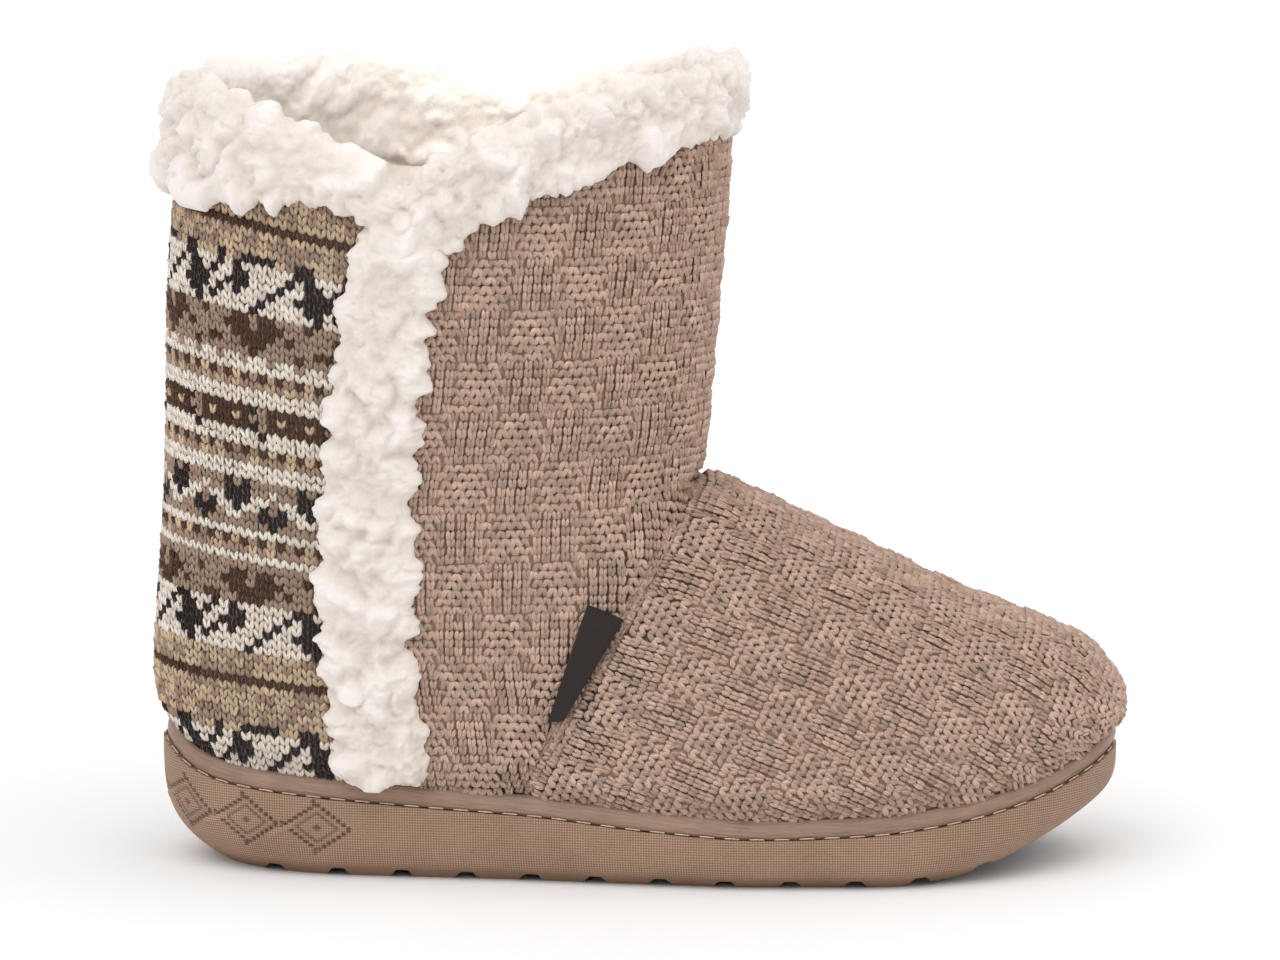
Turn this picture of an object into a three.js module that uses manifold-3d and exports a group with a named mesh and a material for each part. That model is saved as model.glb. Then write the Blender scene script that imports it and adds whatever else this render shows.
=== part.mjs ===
// A knitted bootie slipper for the right foot, in millimetres: +Z up, toe towards +X, outer side towards -Y.
// A point on the shoe is named by its station, the distance from the back of the heel, and its height above
// the floor. The origin lies on the floor, in the middle of the heel's first tread bar.
import * as THREE from 'three';
import { mergeVertices } from 'three/addons/utils/BufferGeometryUtils.js';
import Module from 'manifold-3d';

const wasm = await Module();
wasm.setup();

// Driving dimensions
const SOLE_LENGTH = 265;
const ORIGIN_STATION = 41;
const WALL = 3;
const FIT_GAP = 0.3;
const BED_GAP = 0.7;
const BED_EDGE_GAP = 0.8;
const WELT_HEIGHT = 5;
const WELT_EDGE = 1.6;
const WELT_INSET = 1.4;
const INSOLE_THICKNESS = 4.5;
const THROAT_HEIGHT = 107;
const FEATHER_TUCK = 6;
const TUCK_HEIGHT = 14;
const CUFF_PILE = 5.5;
const CUFF_CREST = 7;
const CUFF_INNER_DEPTH = 18;
const TRIM_HALF_WIDTH = 11.5;
const TRIM_PILE = 6;
const LUMPS = 0.3;

// How finely the curved pieces are divided
const COLUMNS = 26;
const FOOT_ROWS = 15;
const SHAFT_ROWS = 6;

// Plan outline of the sole: half-widths on each side of the axis from heel to toe
const SOLE_OUTLINE = [
  { station: 0, lateral: 0, medial: 0 },
  { station: 8, lateral: 19, medial: 19 },
  { station: 20, lateral: 27.5, medial: 27.5 },
  { station: 40, lateral: 34, medial: 33.5 },
  { station: 65, lateral: 37, medial: 34.5 },
  { station: 95, lateral: 40.5, medial: 35 },
  { station: 130, lateral: 46, medial: 39 },
  { station: 165, lateral: 50, medial: 45 },
  { station: 195, lateral: 50, medial: 47.5 },
  { station: 220, lateral: 45, medial: 45.5 },
  { station: 240, lateral: 35.5, medial: 38.5 },
  { station: 255, lateral: 22, medial: 27 },
  { station: 265, lateral: 0, medial: 0 },
];

// Height of the welt's top edge along the sole
const RIM = [
  { station: 0, height: 39 },
  { station: 9, height: 33 },
  { station: 20, height: 30 },
  { station: 40, height: 28 },
  { station: 75, height: 25.5 },
  { station: 105, height: 23.8 },
  { station: 135, height: 20.8 },
  { station: 165, height: 19.2 },
  { station: 190, height: 20 },
  { station: 210, height: 21.8 },
  { station: 225, height: 24 },
  { station: 241, height: 27.6 },
  { station: 254, height: 31.8 },
  { station: 265, height: 36.6 },
];

// Underside of the sole: its height above the floor, and how far its edge is tucked in under the outline
const TREAD = [
  { station: 0, height: 0, tuck: 17.5 },
  { station: 12, height: 0, tuck: 14 },
  { station: 35, height: 0, tuck: 9 },
  { station: 60, height: 0, tuck: 7 },
  { station: 200, height: 0, tuck: 7 },
  { station: 213, height: 0.9, tuck: 7.5 },
  { station: 226, height: 3.2, tuck: 8.5 },
  { station: 240, height: 8, tuck: 10.5 },
  { station: 252, height: 14, tuck: 13 },
  { station: 265, height: 22, tuck: 14.5 },
];

// Top line of the vamp, from the toe to the throat and on into the shaft, where the shaft covers it
const RIDGE = [
  { height: 30, station: 266.8 },
  { height: 42, station: 266.6 },
  { height: 47, station: 265.6 },
  { height: 55, station: 261 },
  { height: 60, station: 255 },
  { height: 65.5, station: 243.2 },
  { height: 71.5, station: 227 },
  { height: 79, station: 210 },
  { height: 87.3, station: 193 },
  { height: 94.8, station: 177 },
  { height: 101, station: 164.5 },
  { height: 107, station: 148.5 },
  { height: 122, station: 116 },
  { height: 140, station: 60 },
  { height: 152, station: -12 },
];

// Ovals of the shaft: its back and front edge and its greatest half-width
const SHAFT = [
  { height: 20, back: 0.6, front: 110, half: 19 },
  { height: 40, back: -0.4, front: 121, half: 27 },
  { height: 56, back: -1.2, front: 130, half: 33 },
  { height: 76, back: 0.2, front: 139, half: 38.5 },
  { height: 107, back: 2.4, front: 148.5, half: 43 },
  { height: 130, back: 3.1, front: 151, half: 45.5 },
  { height: 160, back: 4, front: 153.5, half: 47 },
  { height: 190, back: 6.6, front: 156, half: 48 },
  { height: 235, back: 11.5, front: 157.5, half: 48.5 },
];

// Collar, as a share of the way from back to front: top edge of the knit and hem of the cuff on each side.
// The outer side dips where the side trim starts.
const COLLAR = [
  { share: 0, lateralEdge: 211, medialEdge: 211, lateralHem: 188, medialHem: 188 },
  { share: 0.11, lateralEdge: 209.5, medialEdge: 210.5, lateralHem: 187, medialHem: 187 },
  { share: 0.2, lateralEdge: 206, medialEdge: 209.5, lateralHem: 187, medialHem: 187 },
  { share: 0.28, lateralEdge: 200.5, medialEdge: 208, lateralHem: 186.5, medialHem: 187 },
  { share: 0.36, lateralEdge: 193, medialEdge: 206, lateralHem: 182, medialHem: 187 },
  { share: 0.42, lateralEdge: 187, medialEdge: 204.5, lateralHem: 173, medialHem: 187 },
  { share: 0.5, lateralEdge: 194, medialEdge: 203.5, lateralHem: 174, medialHem: 187.5 },
  { share: 0.58, lateralEdge: 200.5, medialEdge: 203.5, lateralHem: 183.5, medialHem: 188.5 },
  { share: 0.67, lateralEdge: 205.5, medialEdge: 205.5, lateralHem: 190, medialHem: 191 },
  { share: 0.76, lateralEdge: 209.5, medialEdge: 208.5, lateralHem: 195, medialHem: 195 },
  { share: 0.86, lateralEdge: 213, medialEdge: 212, lateralHem: 199.5, medialHem: 199.5 },
  { share: 1, lateralEdge: 216, medialEdge: 216, lateralHem: 203.5, medialHem: 203.5 },
];

// Middle line of the side trim, from the dip of the collar down to the welt
const TRIM_LINE = [
  { height: 20, station: 65 },
  { height: 40, station: 62.5 },
  { height: 65, station: 59 },
  { height: 95, station: 59.5 },
  { height: 130, station: 62 },
  { height: 155, station: 65 },
  { height: 190, station: 72 },
];

// Seam between vamp and shaft, straight in the side view, sunk where the two edges are sewn together
const SEAM = {
  footStation: 99, footHeight: 24, topHeight: 102, halfWidth: 2.4, depth: 1.2, clear: 3, steps: 12,
};

// Tread bars: grooves of a trapezium section across the sole
const GROOVE = { first: 32.3, pitch: 17.6, count: 12, mouth: 6, floor: 3.4, depth: 2 };

// Folded label in the seam, by the heights of its two ends; the free edge lies towards the heel
const LABEL = { lowHeight: 46, highHeight: 73, lowWidth: 3.8, highWidth: 9.6, lift: 2.2, thickness: 1.3 };

const MATERIALS = {
  outsole: new THREE.MeshStandardMaterial({ color: 0x8b735c, roughness: 0.62, metalness: 0 }),
  welt: new THREE.MeshStandardMaterial({ color: 0x85705b, roughness: 0.5, metalness: 0 }),
  insole: new THREE.MeshStandardMaterial({ color: 0xe6ddd0, roughness: 1, metalness: 0 }),
  knit: new THREE.MeshStandardMaterial({ color: 0xa08672, roughness: 0.95, metalness: 0 }),
  sherpa: new THREE.MeshStandardMaterial({ color: 0xf3eee7, roughness: 1, metalness: 0 }),
  label: new THREE.MeshStandardMaterial({ color: 0x2b211e, roughness: 0.7, metalness: 0 }),
};

// A smooth curve through a table's rows that never overshoots them (monotone cubic)
function curve(rows, from, to, warp = (value) => value) {
  const x = rows.map((row) => warp(row[from]));
  const y = rows.map((row) => row[to]);
  const last = x.length - 1;
  const rise = x.slice(0, last).map((value, i) => (y[i + 1] - y[i]) / (x[i + 1] - value));
  const slope = x.map((value, i) => {
    if (i === 0) return rise[0];
    if (i === last) return rise[last - 1];
    if (rise[i - 1] * rise[i] <= 0) return 0;
    return (2 * rise[i - 1] * rise[i]) / (rise[i - 1] + rise[i]);
  });
  return (value) => {
    const at = THREE.MathUtils.clamp(warp(value), x[0], x[last]);
    let i = 0;
    while (i < last - 1 && at > x[i + 1]) i += 1;
    const width = x[i + 1] - x[i];
    const t = (at - x[i]) / width;
    const ease = t * t * (3 - 2 * t);
    const leave = t * (1 - t) * (1 - t);
    const arrive = t * t * (t - 1);
    return y[i] + (y[i + 1] - y[i]) * ease + width * (slope[i] * leave + slope[i + 1] * arrive);
  };
}

// Stations are spread as the cosine of an angle, so that rounded ends come out round
const angleOf = (station) => Math.acos(THREE.MathUtils.clamp(1 - (2 * station) / SOLE_LENGTH, -1, 1));
const shareAt = (angle) => (1 - Math.cos(angle)) / 2;

const soleHalf = {
  lateral: curve(SOLE_OUTLINE, 'station', 'lateral', angleOf),
  medial: curve(SOLE_OUTLINE, 'station', 'medial', angleOf),
};
const rimHeight = curve(RIM, 'station', 'height');
const treadHeight = curve(TREAD, 'station', 'height');
const treadTuck = curve(TREAD, 'station', 'tuck');
const ridgeStation = curve(RIDGE, 'height', 'station');
const shaftBack = curve(SHAFT, 'height', 'back');
const shaftFront = curve(SHAFT, 'height', 'front');
const shaftHalf = curve(SHAFT, 'height', 'half');
const collarEdge = {
  lateral: curve(COLLAR, 'share', 'lateralEdge'),
  medial: curve(COLLAR, 'share', 'medialEdge'),
};
const collarHem = {
  lateral: curve(COLLAR, 'share', 'lateralHem'),
  medial: curve(COLLAR, 'share', 'medialHem'),
};
const trimStation = curve(TRIM_LINE, 'height', 'station');

// Top of the sole inside the welt, where upper and insole stand
const shelfHeight = (station) => rimHeight(station) - WELT_HEIGHT;

// Height of the vamp's top line over a station, found by halving the range of heights
function ridgeHeight(station) {
  let low = RIDGE[0].height;
  let high = RIDGE[RIDGE.length - 1].height;
  for (let i = 0; i < 24; i += 1) {
    const middle = (low + high) / 2;
    if (ridgeStation(middle) > station) low = middle;
    else high = middle;
  }
  return (low + high) / 2;
}

// Half-width of the upper at a station and height: an arched foot form joined softly to an oval shaft
// The outline is stretched a little above the welt, so that the nose of the toe stays round
const ARCH_RISE = 2.4;
const ARCH_ROUND = 2.1;
const JOIN = 6;
const TOE_FILL = 0.015;
const TOE_FILL_FROM = 32;
const TOE_FILL_TO = 46;

function footHalf(side, station, height) {
  const back = shaftBack(height);
  const reach = Math.max(SOLE_LENGTH, ridgeStation(height));
  const fill = 1 - TOE_FILL * THREE.MathUtils.smoothstep(height, TOE_FILL_FROM, TOE_FILL_TO);
  const along = ((station - back) * SOLE_LENGTH * fill) / (reach - back);
  const floor = Math.min(shelfHeight(along), height);
  const share = (height - floor) / Math.max(ridgeHeight(station) - floor, 1e-6);
  if (share >= 1) return 0;
  return soleHalf[side](along) * (1 - share ** ARCH_RISE) ** (1 / ARCH_ROUND);
}

function shaftOvalHalf(station, height) {
  const back = shaftBack(height);
  const across = (2 * (station - back)) / (shaftFront(height) - back) - 1;
  return Math.abs(across) >= 1 ? 0 : shaftHalf(height) * Math.sqrt(1 - across * across);
}

function upperHalf(side, station, height) {
  return (footHalf(side, station, height) ** JOIN + shaftOvalHalf(station, height) ** JOIN) ** (1 / JOIN);
}

// The upper's own surface: the angle runs from 0 at the back to pi at the front, negative on the outer side.
// Grow moves a point out along the normal; near the sole the knit is drawn in towards its feather line.
const sideOf = (angle) => (Math.sin(angle) < 0 ? 'lateral' : 'medial');

function upperBase(angle, height) {
  const back = shaftBack(height);
  const front = height < THROAT_HEIGHT ? ridgeStation(height) : shaftFront(height);
  const station = back + (front - back) * shareAt(angle);
  const half = upperHalf(sideOf(angle), station, height);
  return new THREE.Vector3(station, Math.sign(Math.sin(angle)) * half, height);
}

function featherTuck(angle, height) {
  const above = height - shelfHeight(SOLE_LENGTH * shareAt(angle));
  return FEATHER_TUCK * (1 - THREE.MathUtils.smoothstep(above, 0, TUCK_HEIGHT));
}

function upperPoint(angle, height, grow) {
  const turn = 0.02;
  const climb = 0.4;
  const around = upperBase(angle + turn, height).sub(upperBase(angle - turn, height));
  const up = upperBase(angle, height + climb).sub(upperBase(angle, height - climb));
  const normal = up.cross(around).normalize();
  return upperBase(angle, height).addScaledVector(normal, grow - featherTuck(angle, height));
}

// A point over the outer or inner side of the upper, by station and height instead of angle
function sidePoint(side, station, height, grow) {
  const step = 0.5;
  const half = (s, h) => upperHalf(side, s, h);
  const outward = side === 'lateral' ? -1 : 1;
  const normal = new THREE.Vector3(
    half(station - step, height) - half(station + step, height),
    outward * 2 * step,
    half(station, height - step) - half(station, height + step),
  ).normalize();
  const tuck = featherTuck(angleOf(station), height);
  return new THREE.Vector3(station, outward * half(station, height), height)
    .addScaledVector(normal, grow - tuck);
}

// Loops of points: index 0 lies at one end of the form and half-way round at the other
const LOOP = Array.from({ length: 2 * COLUMNS }, (_, i) => {
  const angle = (Math.PI * i) / COLUMNS;
  return i <= COLUMNS ? -angle : 2 * Math.PI - angle;
});

// A closed solid through equal loops. The last loop joins the first one in a ring; otherwise the two end
// loops are closed by rungs from one half of the loop to the other.
function solidThrough(loops, ring = false) {
  const size = loops[0].length;
  const corners = loops.flat();
  const faces = [];
  const quad = (a, b, c, d) => {
    if (a !== b && b !== c && a !== c) faces.push(a, b, c);
    if (a !== c && c !== d && a !== d) faces.push(a, c, d);
  };
  const joins = ring ? loops.length : loops.length - 1;
  for (let row = 0; row < joins; row += 1) {
    const low = row * size;
    const high = ((row + 1) % loops.length) * size;
    for (let i = 0; i < size; i += 1) {
      const next = (i + 1) % size;
      quad(low + i, low + next, high + next, high + i);
    }
  }
  if (!ring) {
    const top = (loops.length - 1) * size;
    for (let i = 0; i < size / 2; i += 1) {
      const far = (size - i) % size;
      quad(far, size - i - 1, i + 1, i);
      quad(top + i, top + i + 1, top + size - i - 1, top + far);
    }
  }
  return solidOf(corners, faces);
}

// A manifold solid from corners and faces, with the faces turned outwards
function solidOf(corners, faces) {
  let volume = 0;
  for (let i = 0; i < faces.length; i += 3) {
    const [a, b, c] = [corners[faces[i]], corners[faces[i + 1]], corners[faces[i + 2]]];
    volume += a.dot(b.clone().cross(c));
  }
  const triVerts = new Uint32Array(volume < 0 ? [...faces].reverse() : faces);
  const vertProperties = new Float32Array(corners.flatMap((corner) => corner.toArray()));
  return new wasm.Manifold(new wasm.Mesh({ numProp: 3, vertProperties, triVerts }));
}

// A manifold solid from a three.js geometry
function solidFrom(geometry) {
  const bare = geometry.clone();
  bare.deleteAttribute('normal');
  bare.deleteAttribute('uv');
  const merged = mergeVertices(bare, 1e-4);
  const vertProperties = new Float32Array(merged.getAttribute('position').array);
  const triVerts = new Uint32Array(merged.index.array);
  return new wasm.Manifold(new wasm.Mesh({ numProp: 3, vertProperties, triVerts }));
}

function meshOf(name, solid, material) {
  const { vertProperties, triVerts } = solid.getMesh();
  const geometry = new THREE.BufferGeometry();
  geometry.setAttribute('position', new THREE.BufferAttribute(new Float32Array(vertProperties), 3));
  geometry.setIndex(new THREE.BufferAttribute(new Uint32Array(triVerts), 1));
  geometry.computeVertexNormals();
  const mesh = new THREE.Mesh(geometry, material);
  mesh.name = name;
  return mesh;
}

// A point of the sole's outline, moved in towards the middle by an inset
function outlinePoint(angle, inset, heightAt) {
  const turn = 0.01;
  const at = (a) => {
    const station = SOLE_LENGTH * shareAt(a);
    return new THREE.Vector2(station, Math.sign(Math.sin(a)) * soleHalf[sideOf(a)](station));
  };
  const along = at(angle + turn).sub(at(angle - turn)).normalize();
  const point = at(angle).add(new THREE.Vector2(along.y, -along.x).multiplyScalar(inset));
  return new THREE.Vector3(point.x, point.y, heightAt(point.x));
}

// Outsole: a moulded cup whose side rolls under towards the tread
function outsoleSolid() {
  const shares = [0, 0.1, 0.24, 0.42, 0.65, 0.86, 0.95, 1];
  const roll = 3.8;
  const shoulder = 1.2;
  const loops = shares.map((share) => LOOP.map((angle) => {
    const station = SOLE_LENGTH * shareAt(angle);
    const inset = treadTuck(station) * (1 - share) ** roll + (share === 1 ? shoulder : 0);
    const low = outlinePoint(angle, treadTuck(station), treadHeight).z;
    const high = shelfHeight(station);
    return outlinePoint(angle, inset, () => low + (high - low) * share);
  }));
  let sole = solidThrough(loops);
  for (let i = 0; i < GROOVE.count; i += 1) {
    sole = sole.subtract(grooveSolid(GROOVE.first + i * GROOVE.pitch));
  }
  return sole;
}

// One groove across the tread, tilted with the toe spring
function grooveSolid(station) {
  const reach = 130;
  const below = 4;
  const flare = ((GROOVE.mouth - GROOVE.floor) / 2) * (below / GROOVE.depth);
  const section = new THREE.Shape([
    new THREE.Vector2(-GROOVE.floor / 2, GROOVE.depth),
    new THREE.Vector2(-GROOVE.mouth / 2 - flare, -below),
    new THREE.Vector2(GROOVE.mouth / 2 + flare, -below),
    new THREE.Vector2(GROOVE.floor / 2, GROOVE.depth),
  ]);
  const prism = new THREE.ExtrudeGeometry(section, { depth: reach, bevelEnabled: false });
  const slope = Math.atan((treadHeight(station + 2) - treadHeight(station - 2)) / 4);
  prism.translate(0, 0, -reach / 2).rotateZ(slope).rotateX(Math.PI / 2);
  prism.translate(station, 0, treadHeight(station));
  return solidFrom(prism);
}

// Welt: a band round the feather line, standing on the sole and leaning in over the knit
function weltSolid() {
  const base = (angle) => shelfHeight(SOLE_LENGTH * shareAt(angle)) + FIT_GAP;
  const top = (angle) => rimHeight(SOLE_LENGTH * shareAt(angle));
  const innerFoot = (angle) => upperPoint(angle, base(angle), FIT_GAP);
  const innerTop = (angle) => upperPoint(angle, top(angle), FIT_GAP);
  const outerTop = (angle) => upperPoint(angle, top(angle), FIT_GAP + WELT_EDGE);
  const outerFoot = (angle) => outlinePoint(angle, WELT_INSET, () => base(angle));
  const outerMiddle = (angle) => outerTop(angle).lerp(outerFoot(angle), 0.5);
  const rows = [innerFoot, innerTop, outerTop, outerMiddle, outerFoot];
  return solidThrough(rows.map((row) => LOOP.map(row)), true);
}

// Insole: a foam bed on the sole, inside the upper
function insoleSolid() {
  const loops = [0, INSOLE_THICKNESS].map((lift) => LOOP.map((angle) => {
    const shelf = shelfHeight(SOLE_LENGTH * shareAt(angle));
    const edge = upperPoint(angle, shelf + BED_GAP, -WALL - BED_EDGE_GAP);
    return edge.setZ(shelfHeight(edge.x) + BED_GAP + lift);
  }));
  return solidThrough(loops);
}

const edgeAt = (angle) => collarEdge[sideOf(angle)](shareAt(angle));
const hemAt = (angle) => collarHem[sideOf(angle)](shareAt(angle));

// Heights of the upper's rows at an angle: its edge on the sole, the welt's top edge, then even steps to the
// throat and from the throat to the collar
function upperHeights(angle) {
  const station = SOLE_LENGTH * shareAt(angle);
  const rim = rimHeight(station);
  const heights = [shelfHeight(station) + FIT_GAP];
  for (let i = 0; i < FOOT_ROWS; i += 1) {
    heights.push(THREE.MathUtils.lerp(rim, THROAT_HEIGHT, i / FOOT_ROWS));
  }
  for (let i = 0; i <= SHAFT_ROWS; i += 1) {
    heights.push(THREE.MathUtils.lerp(THROAT_HEIGHT, edgeAt(angle), i / SHAFT_ROWS));
  }
  return heights;
}

// Upper: one wall of knit, open at the collar and underneath, with the vamp seam sunk into its outside
function upperSolid() {
  const columns = LOOP.map((angle) => upperHeights(angle));
  const wall = (grow) => columns[0].map((_, row) => (
    LOOP.map((angle, i) => upperPoint(angle, columns[i][row], grow))
  ));
  const upper = solidThrough([...wall(0), ...wall(-WALL).reverse()], true);
  return upper.subtract(seamSolid('lateral')).subtract(seamSolid('medial'));
}

const seamStation = (height) => THREE.MathUtils.mapLinear(
  height, SEAM.footHeight, THROAT_HEIGHT, SEAM.footStation, ridgeStation(THROAT_HEIGHT),
);

function seamSolid(side) {
  const loops = Array.from({ length: SEAM.steps + 1 }, (_, i) => {
    const height = THREE.MathUtils.lerp(SEAM.footHeight, SEAM.topHeight, i / SEAM.steps);
    const station = seamStation(height);
    return [
      sidePoint(side, station - SEAM.halfWidth, height, SEAM.clear),
      sidePoint(side, station, height, SEAM.clear),
      sidePoint(side, station + SEAM.halfWidth, height, SEAM.clear),
      sidePoint(side, station, height, -SEAM.depth),
    ];
  });
  return solidThrough(loops);
}

// A curl of sherpa: a small stretched lump, turned along a direction
function lockSolid(centre, along, length, radius) {
  const lump = new THREE.IcosahedronGeometry(1, 0);
  lump.scale(radius, length, radius);
  lump.applyQuaternion(new THREE.Quaternion().setFromUnitVectors(new THREE.Vector3(0, 1, 0), along));
  lump.translate(centre.x, centre.y, centre.z);
  return solidFrom(lump);
}

// Share between 0 and 1 that looks scattered but is the same on every run
const scatter = (i, step) => (i * step) % 1;

// Depth of the pile at a place in a piece of sherpa, uneven from lump to lump
const lumpyPile = (pile, row, column) => (
  pile * (1 + LUMPS * (scatter(column * 5 + row * 11, 0.618) - 0.5) * 2)
);

// Sherpa cuff: turned over the collar, with curls fused on outside and along its crest
function cuffSolid() {
  const outside = (angle, drop, grow) => (
    upperPoint(angle, THREE.MathUtils.lerp(edgeAt(angle), hemAt(angle), drop), grow)
  );
  const crest = (angle, rise, grow) => upperPoint(angle, edgeAt(angle) + rise, grow);
  const inside = (angle, drop, grow) => (
    upperPoint(angle, edgeAt(angle) - drop * CUFF_INNER_DEPTH, -WALL - grow)
  );
  const rows = [
    (angle) => outside(angle, 1, FIT_GAP),
    (angle, i) => outside(angle, 1, lumpyPile(CUFF_PILE * 0.6, 1, i)),
    (angle, i) => outside(angle, 0.6, lumpyPile(CUFF_PILE, 2, i)),
    (angle, i) => outside(angle, 0.1, lumpyPile(CUFF_PILE, 3, i)),
    (angle, i) => crest(angle, CUFF_CREST * 0.7, lumpyPile(CUFF_PILE * 0.5, 4, i)),
    (angle, i) => crest(angle, lumpyPile(CUFF_CREST, 5, i), -WALL / 2),
    (angle, i) => crest(angle, CUFF_CREST * 0.7, -WALL - lumpyPile(CUFF_PILE * 0.5, 6, i)),
    (angle, i) => inside(angle, 0, lumpyPile(CUFF_PILE, 7, i)),
    (angle, i) => inside(angle, 0.9, lumpyPile(CUFF_PILE * 0.8, 8, i)),
    (angle) => inside(angle, 1, FIT_GAP),
    (angle) => crest(angle, FIT_GAP, -WALL - FIT_GAP),
    (angle) => crest(angle, FIT_GAP, FIT_GAP),
  ];
  let cuff = solidThrough(rows.map((row) => LOOP.map(row)), true);
  const locks = { count: 39, length: 5.5, radius: 3.4 };
  const tiers = [
    (angle) => crest(angle, CUFF_CREST - 1, -WALL / 2),
    (angle) => outside(angle, 0.25, CUFF_PILE * 0.9),
    (angle) => outside(angle, 0.7, CUFF_PILE * 0.8),
  ];
  for (let i = 0; i < locks.count; i += 1) {
    const angle = (2 * Math.PI * i) / locks.count - Math.PI;
    const spot = tiers[i % tiers.length];
    const along = spot(angle + 0.1).sub(spot(angle - 0.1)).normalize();
    cuff = cuff.add(lockSolid(spot(angle), along, locks.length, locks.radius));
  }
  return cuff;
}

// Side trim: a strip of sherpa down the outer side, from the hem of the cuff to the welt
function trimSolid() {
  const steps = 14;
  const crowding = 1.6;
  const topGap = 2;
  const profile = [
    { across: -1, pile: 0.25 },
    { across: -0.8, pile: 0.8 },
    { across: -0.3, pile: 1 },
    { across: 0.3, pile: 1 },
    { across: 0.8, pile: 0.8 },
    { across: 1, pile: 0.25 },
    { across: 0.8, pile: 0 },
    { across: 0.3, pile: 0 },
    { across: -0.3, pile: 0 },
    { across: -0.8, pile: 0 },
  ];
  const foot = rimHeight(trimStation(0)) + 1;
  const dip = collarHem.lateral(0.42);
  const topAt = (across) => {
    const station = trimStation(dip) + across * TRIM_HALF_WIDTH;
    const share = (station - shaftBack(dip)) / (shaftFront(dip) - shaftBack(dip));
    return collarHem.lateral(share) - topGap;
  };
  const spot = (share, across, grow) => {
    const height = THREE.MathUtils.lerp(foot, topAt(across), share);
    return sidePoint('lateral', trimStation(height) + across * TRIM_HALF_WIDTH, height, grow);
  };
  const loops = Array.from({ length: steps + 1 }, (_, row) => profile.map(({ across, pile }, i) => (
    spot((row / steps) ** crowding, across, FIT_GAP + lumpyPile(TRIM_PILE * pile, row, i))
  )));
  let trim = solidThrough(loops);
  const locks = { count: 24, length: 5.5, radius: 3.2, margin: 0.06 };
  for (let i = 0; i < locks.count; i += 1) {
    const share = THREE.MathUtils.lerp(locks.margin, 1 - locks.margin, (i + 0.5) / locks.count);
    const across = scatter(i, 0.618) * 1.6 - 0.8;
    const grow = TRIM_PILE * (1 - 0.3 * Math.abs(across));
    const centre = spot(share, across, grow);
    const along = spot(share + 0.03, across + scatter(i, 0.414) - 0.5, grow).sub(centre).normalize();
    trim = trim.add(lockSolid(centre, along, locks.length, locks.radius));
  }
  return trim;
}

// Folded label sewn into the vamp seam, its free edge lifted off the shaft
function labelSolid() {
  const steps = 4;
  const loops = Array.from({ length: steps + 1 }, (_, i) => {
    const share = i / steps;
    const height = THREE.MathUtils.lerp(LABEL.lowHeight, LABEL.highHeight, share);
    const width = THREE.MathUtils.lerp(LABEL.lowWidth, LABEL.highWidth, share);
    const seam = seamStation(height);
    const layer = (grow, back) => sidePoint('lateral', seam - back * width, height + back * share * 4, grow);
    const free = FIT_GAP + LABEL.lift;
    return [
      layer(FIT_GAP, 0),
      layer((FIT_GAP + free) / 2, 0.5),
      layer(free, 1),
      layer(free + LABEL.thickness, 1),
      layer((FIT_GAP + free) / 2 + LABEL.thickness, 0.5),
      layer(FIT_GAP + LABEL.thickness, 0),
    ];
  });
  return solidThrough(loops);
}

const bootie = new THREE.Group();
bootie.add(
  meshOf('outsole', outsoleSolid(), MATERIALS.outsole),
  meshOf('welt', weltSolid(), MATERIALS.welt),
  meshOf('insole', insoleSolid(), MATERIALS.insole),
  meshOf('upper', upperSolid(), MATERIALS.knit),
  meshOf('collar_cuff', cuffSolid(), MATERIALS.sherpa),
  meshOf('side_trim', trimSolid(), MATERIALS.sherpa),
  meshOf('label_tab', labelSolid(), MATERIALS.label),
);
bootie.position.x = -ORIGIN_STATION;

export default bootie;
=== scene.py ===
# %% [markdown]
# # A knitted bootie slipper
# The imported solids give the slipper's form: a moulded sole, a welt, a hollow upper, a sherpa cuff with a
# side trim, and a folded label. This lesson dresses that form. Every piece is worked out in millimetres
# from the same tables as the solids, and turned into Blender's metres in one place.

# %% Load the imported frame
import math

import bpy
import numpy as np
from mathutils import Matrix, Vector, noise


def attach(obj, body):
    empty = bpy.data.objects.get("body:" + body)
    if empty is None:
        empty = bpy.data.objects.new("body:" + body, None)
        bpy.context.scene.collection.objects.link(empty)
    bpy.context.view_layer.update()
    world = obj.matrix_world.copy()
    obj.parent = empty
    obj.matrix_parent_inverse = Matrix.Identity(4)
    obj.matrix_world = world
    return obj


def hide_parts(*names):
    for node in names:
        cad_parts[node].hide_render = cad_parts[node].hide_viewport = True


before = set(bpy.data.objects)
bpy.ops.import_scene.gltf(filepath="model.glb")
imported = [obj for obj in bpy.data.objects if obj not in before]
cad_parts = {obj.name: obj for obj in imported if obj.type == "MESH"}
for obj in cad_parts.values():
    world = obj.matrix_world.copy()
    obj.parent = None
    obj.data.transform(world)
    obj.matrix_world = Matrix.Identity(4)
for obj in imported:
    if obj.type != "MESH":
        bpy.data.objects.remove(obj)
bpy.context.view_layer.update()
MM = 0.001
print("solids:", ", ".join(sorted(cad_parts)))

# %% [markdown]
# ## The form of the shoe
# A shoe is built over a last. Here the last is a function: for a station (distance from the back of the
# heel) and a height it gives the half-width of the upper. An arched foot form and an oval shaft are joined
# softly. Tables with a row for each section hold the sizes, and a curve that never overshoots runs through
# them.

# %% Tables of the form, in millimetres
SOLE_LENGTH, ORIGIN_STATION = 265, 41
WALL, WELT_HEIGHT, THROAT_HEIGHT = 3, 5, 107
FEATHER_TUCK, TUCK_HEIGHT = 6, 14
ARCH_RISE, ARCH_ROUND, JOIN = 2.4, 2.1, 6
TOE_FILL, TOE_FILL_FROM, TOE_FILL_TO = 0.015, 32, 46

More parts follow.
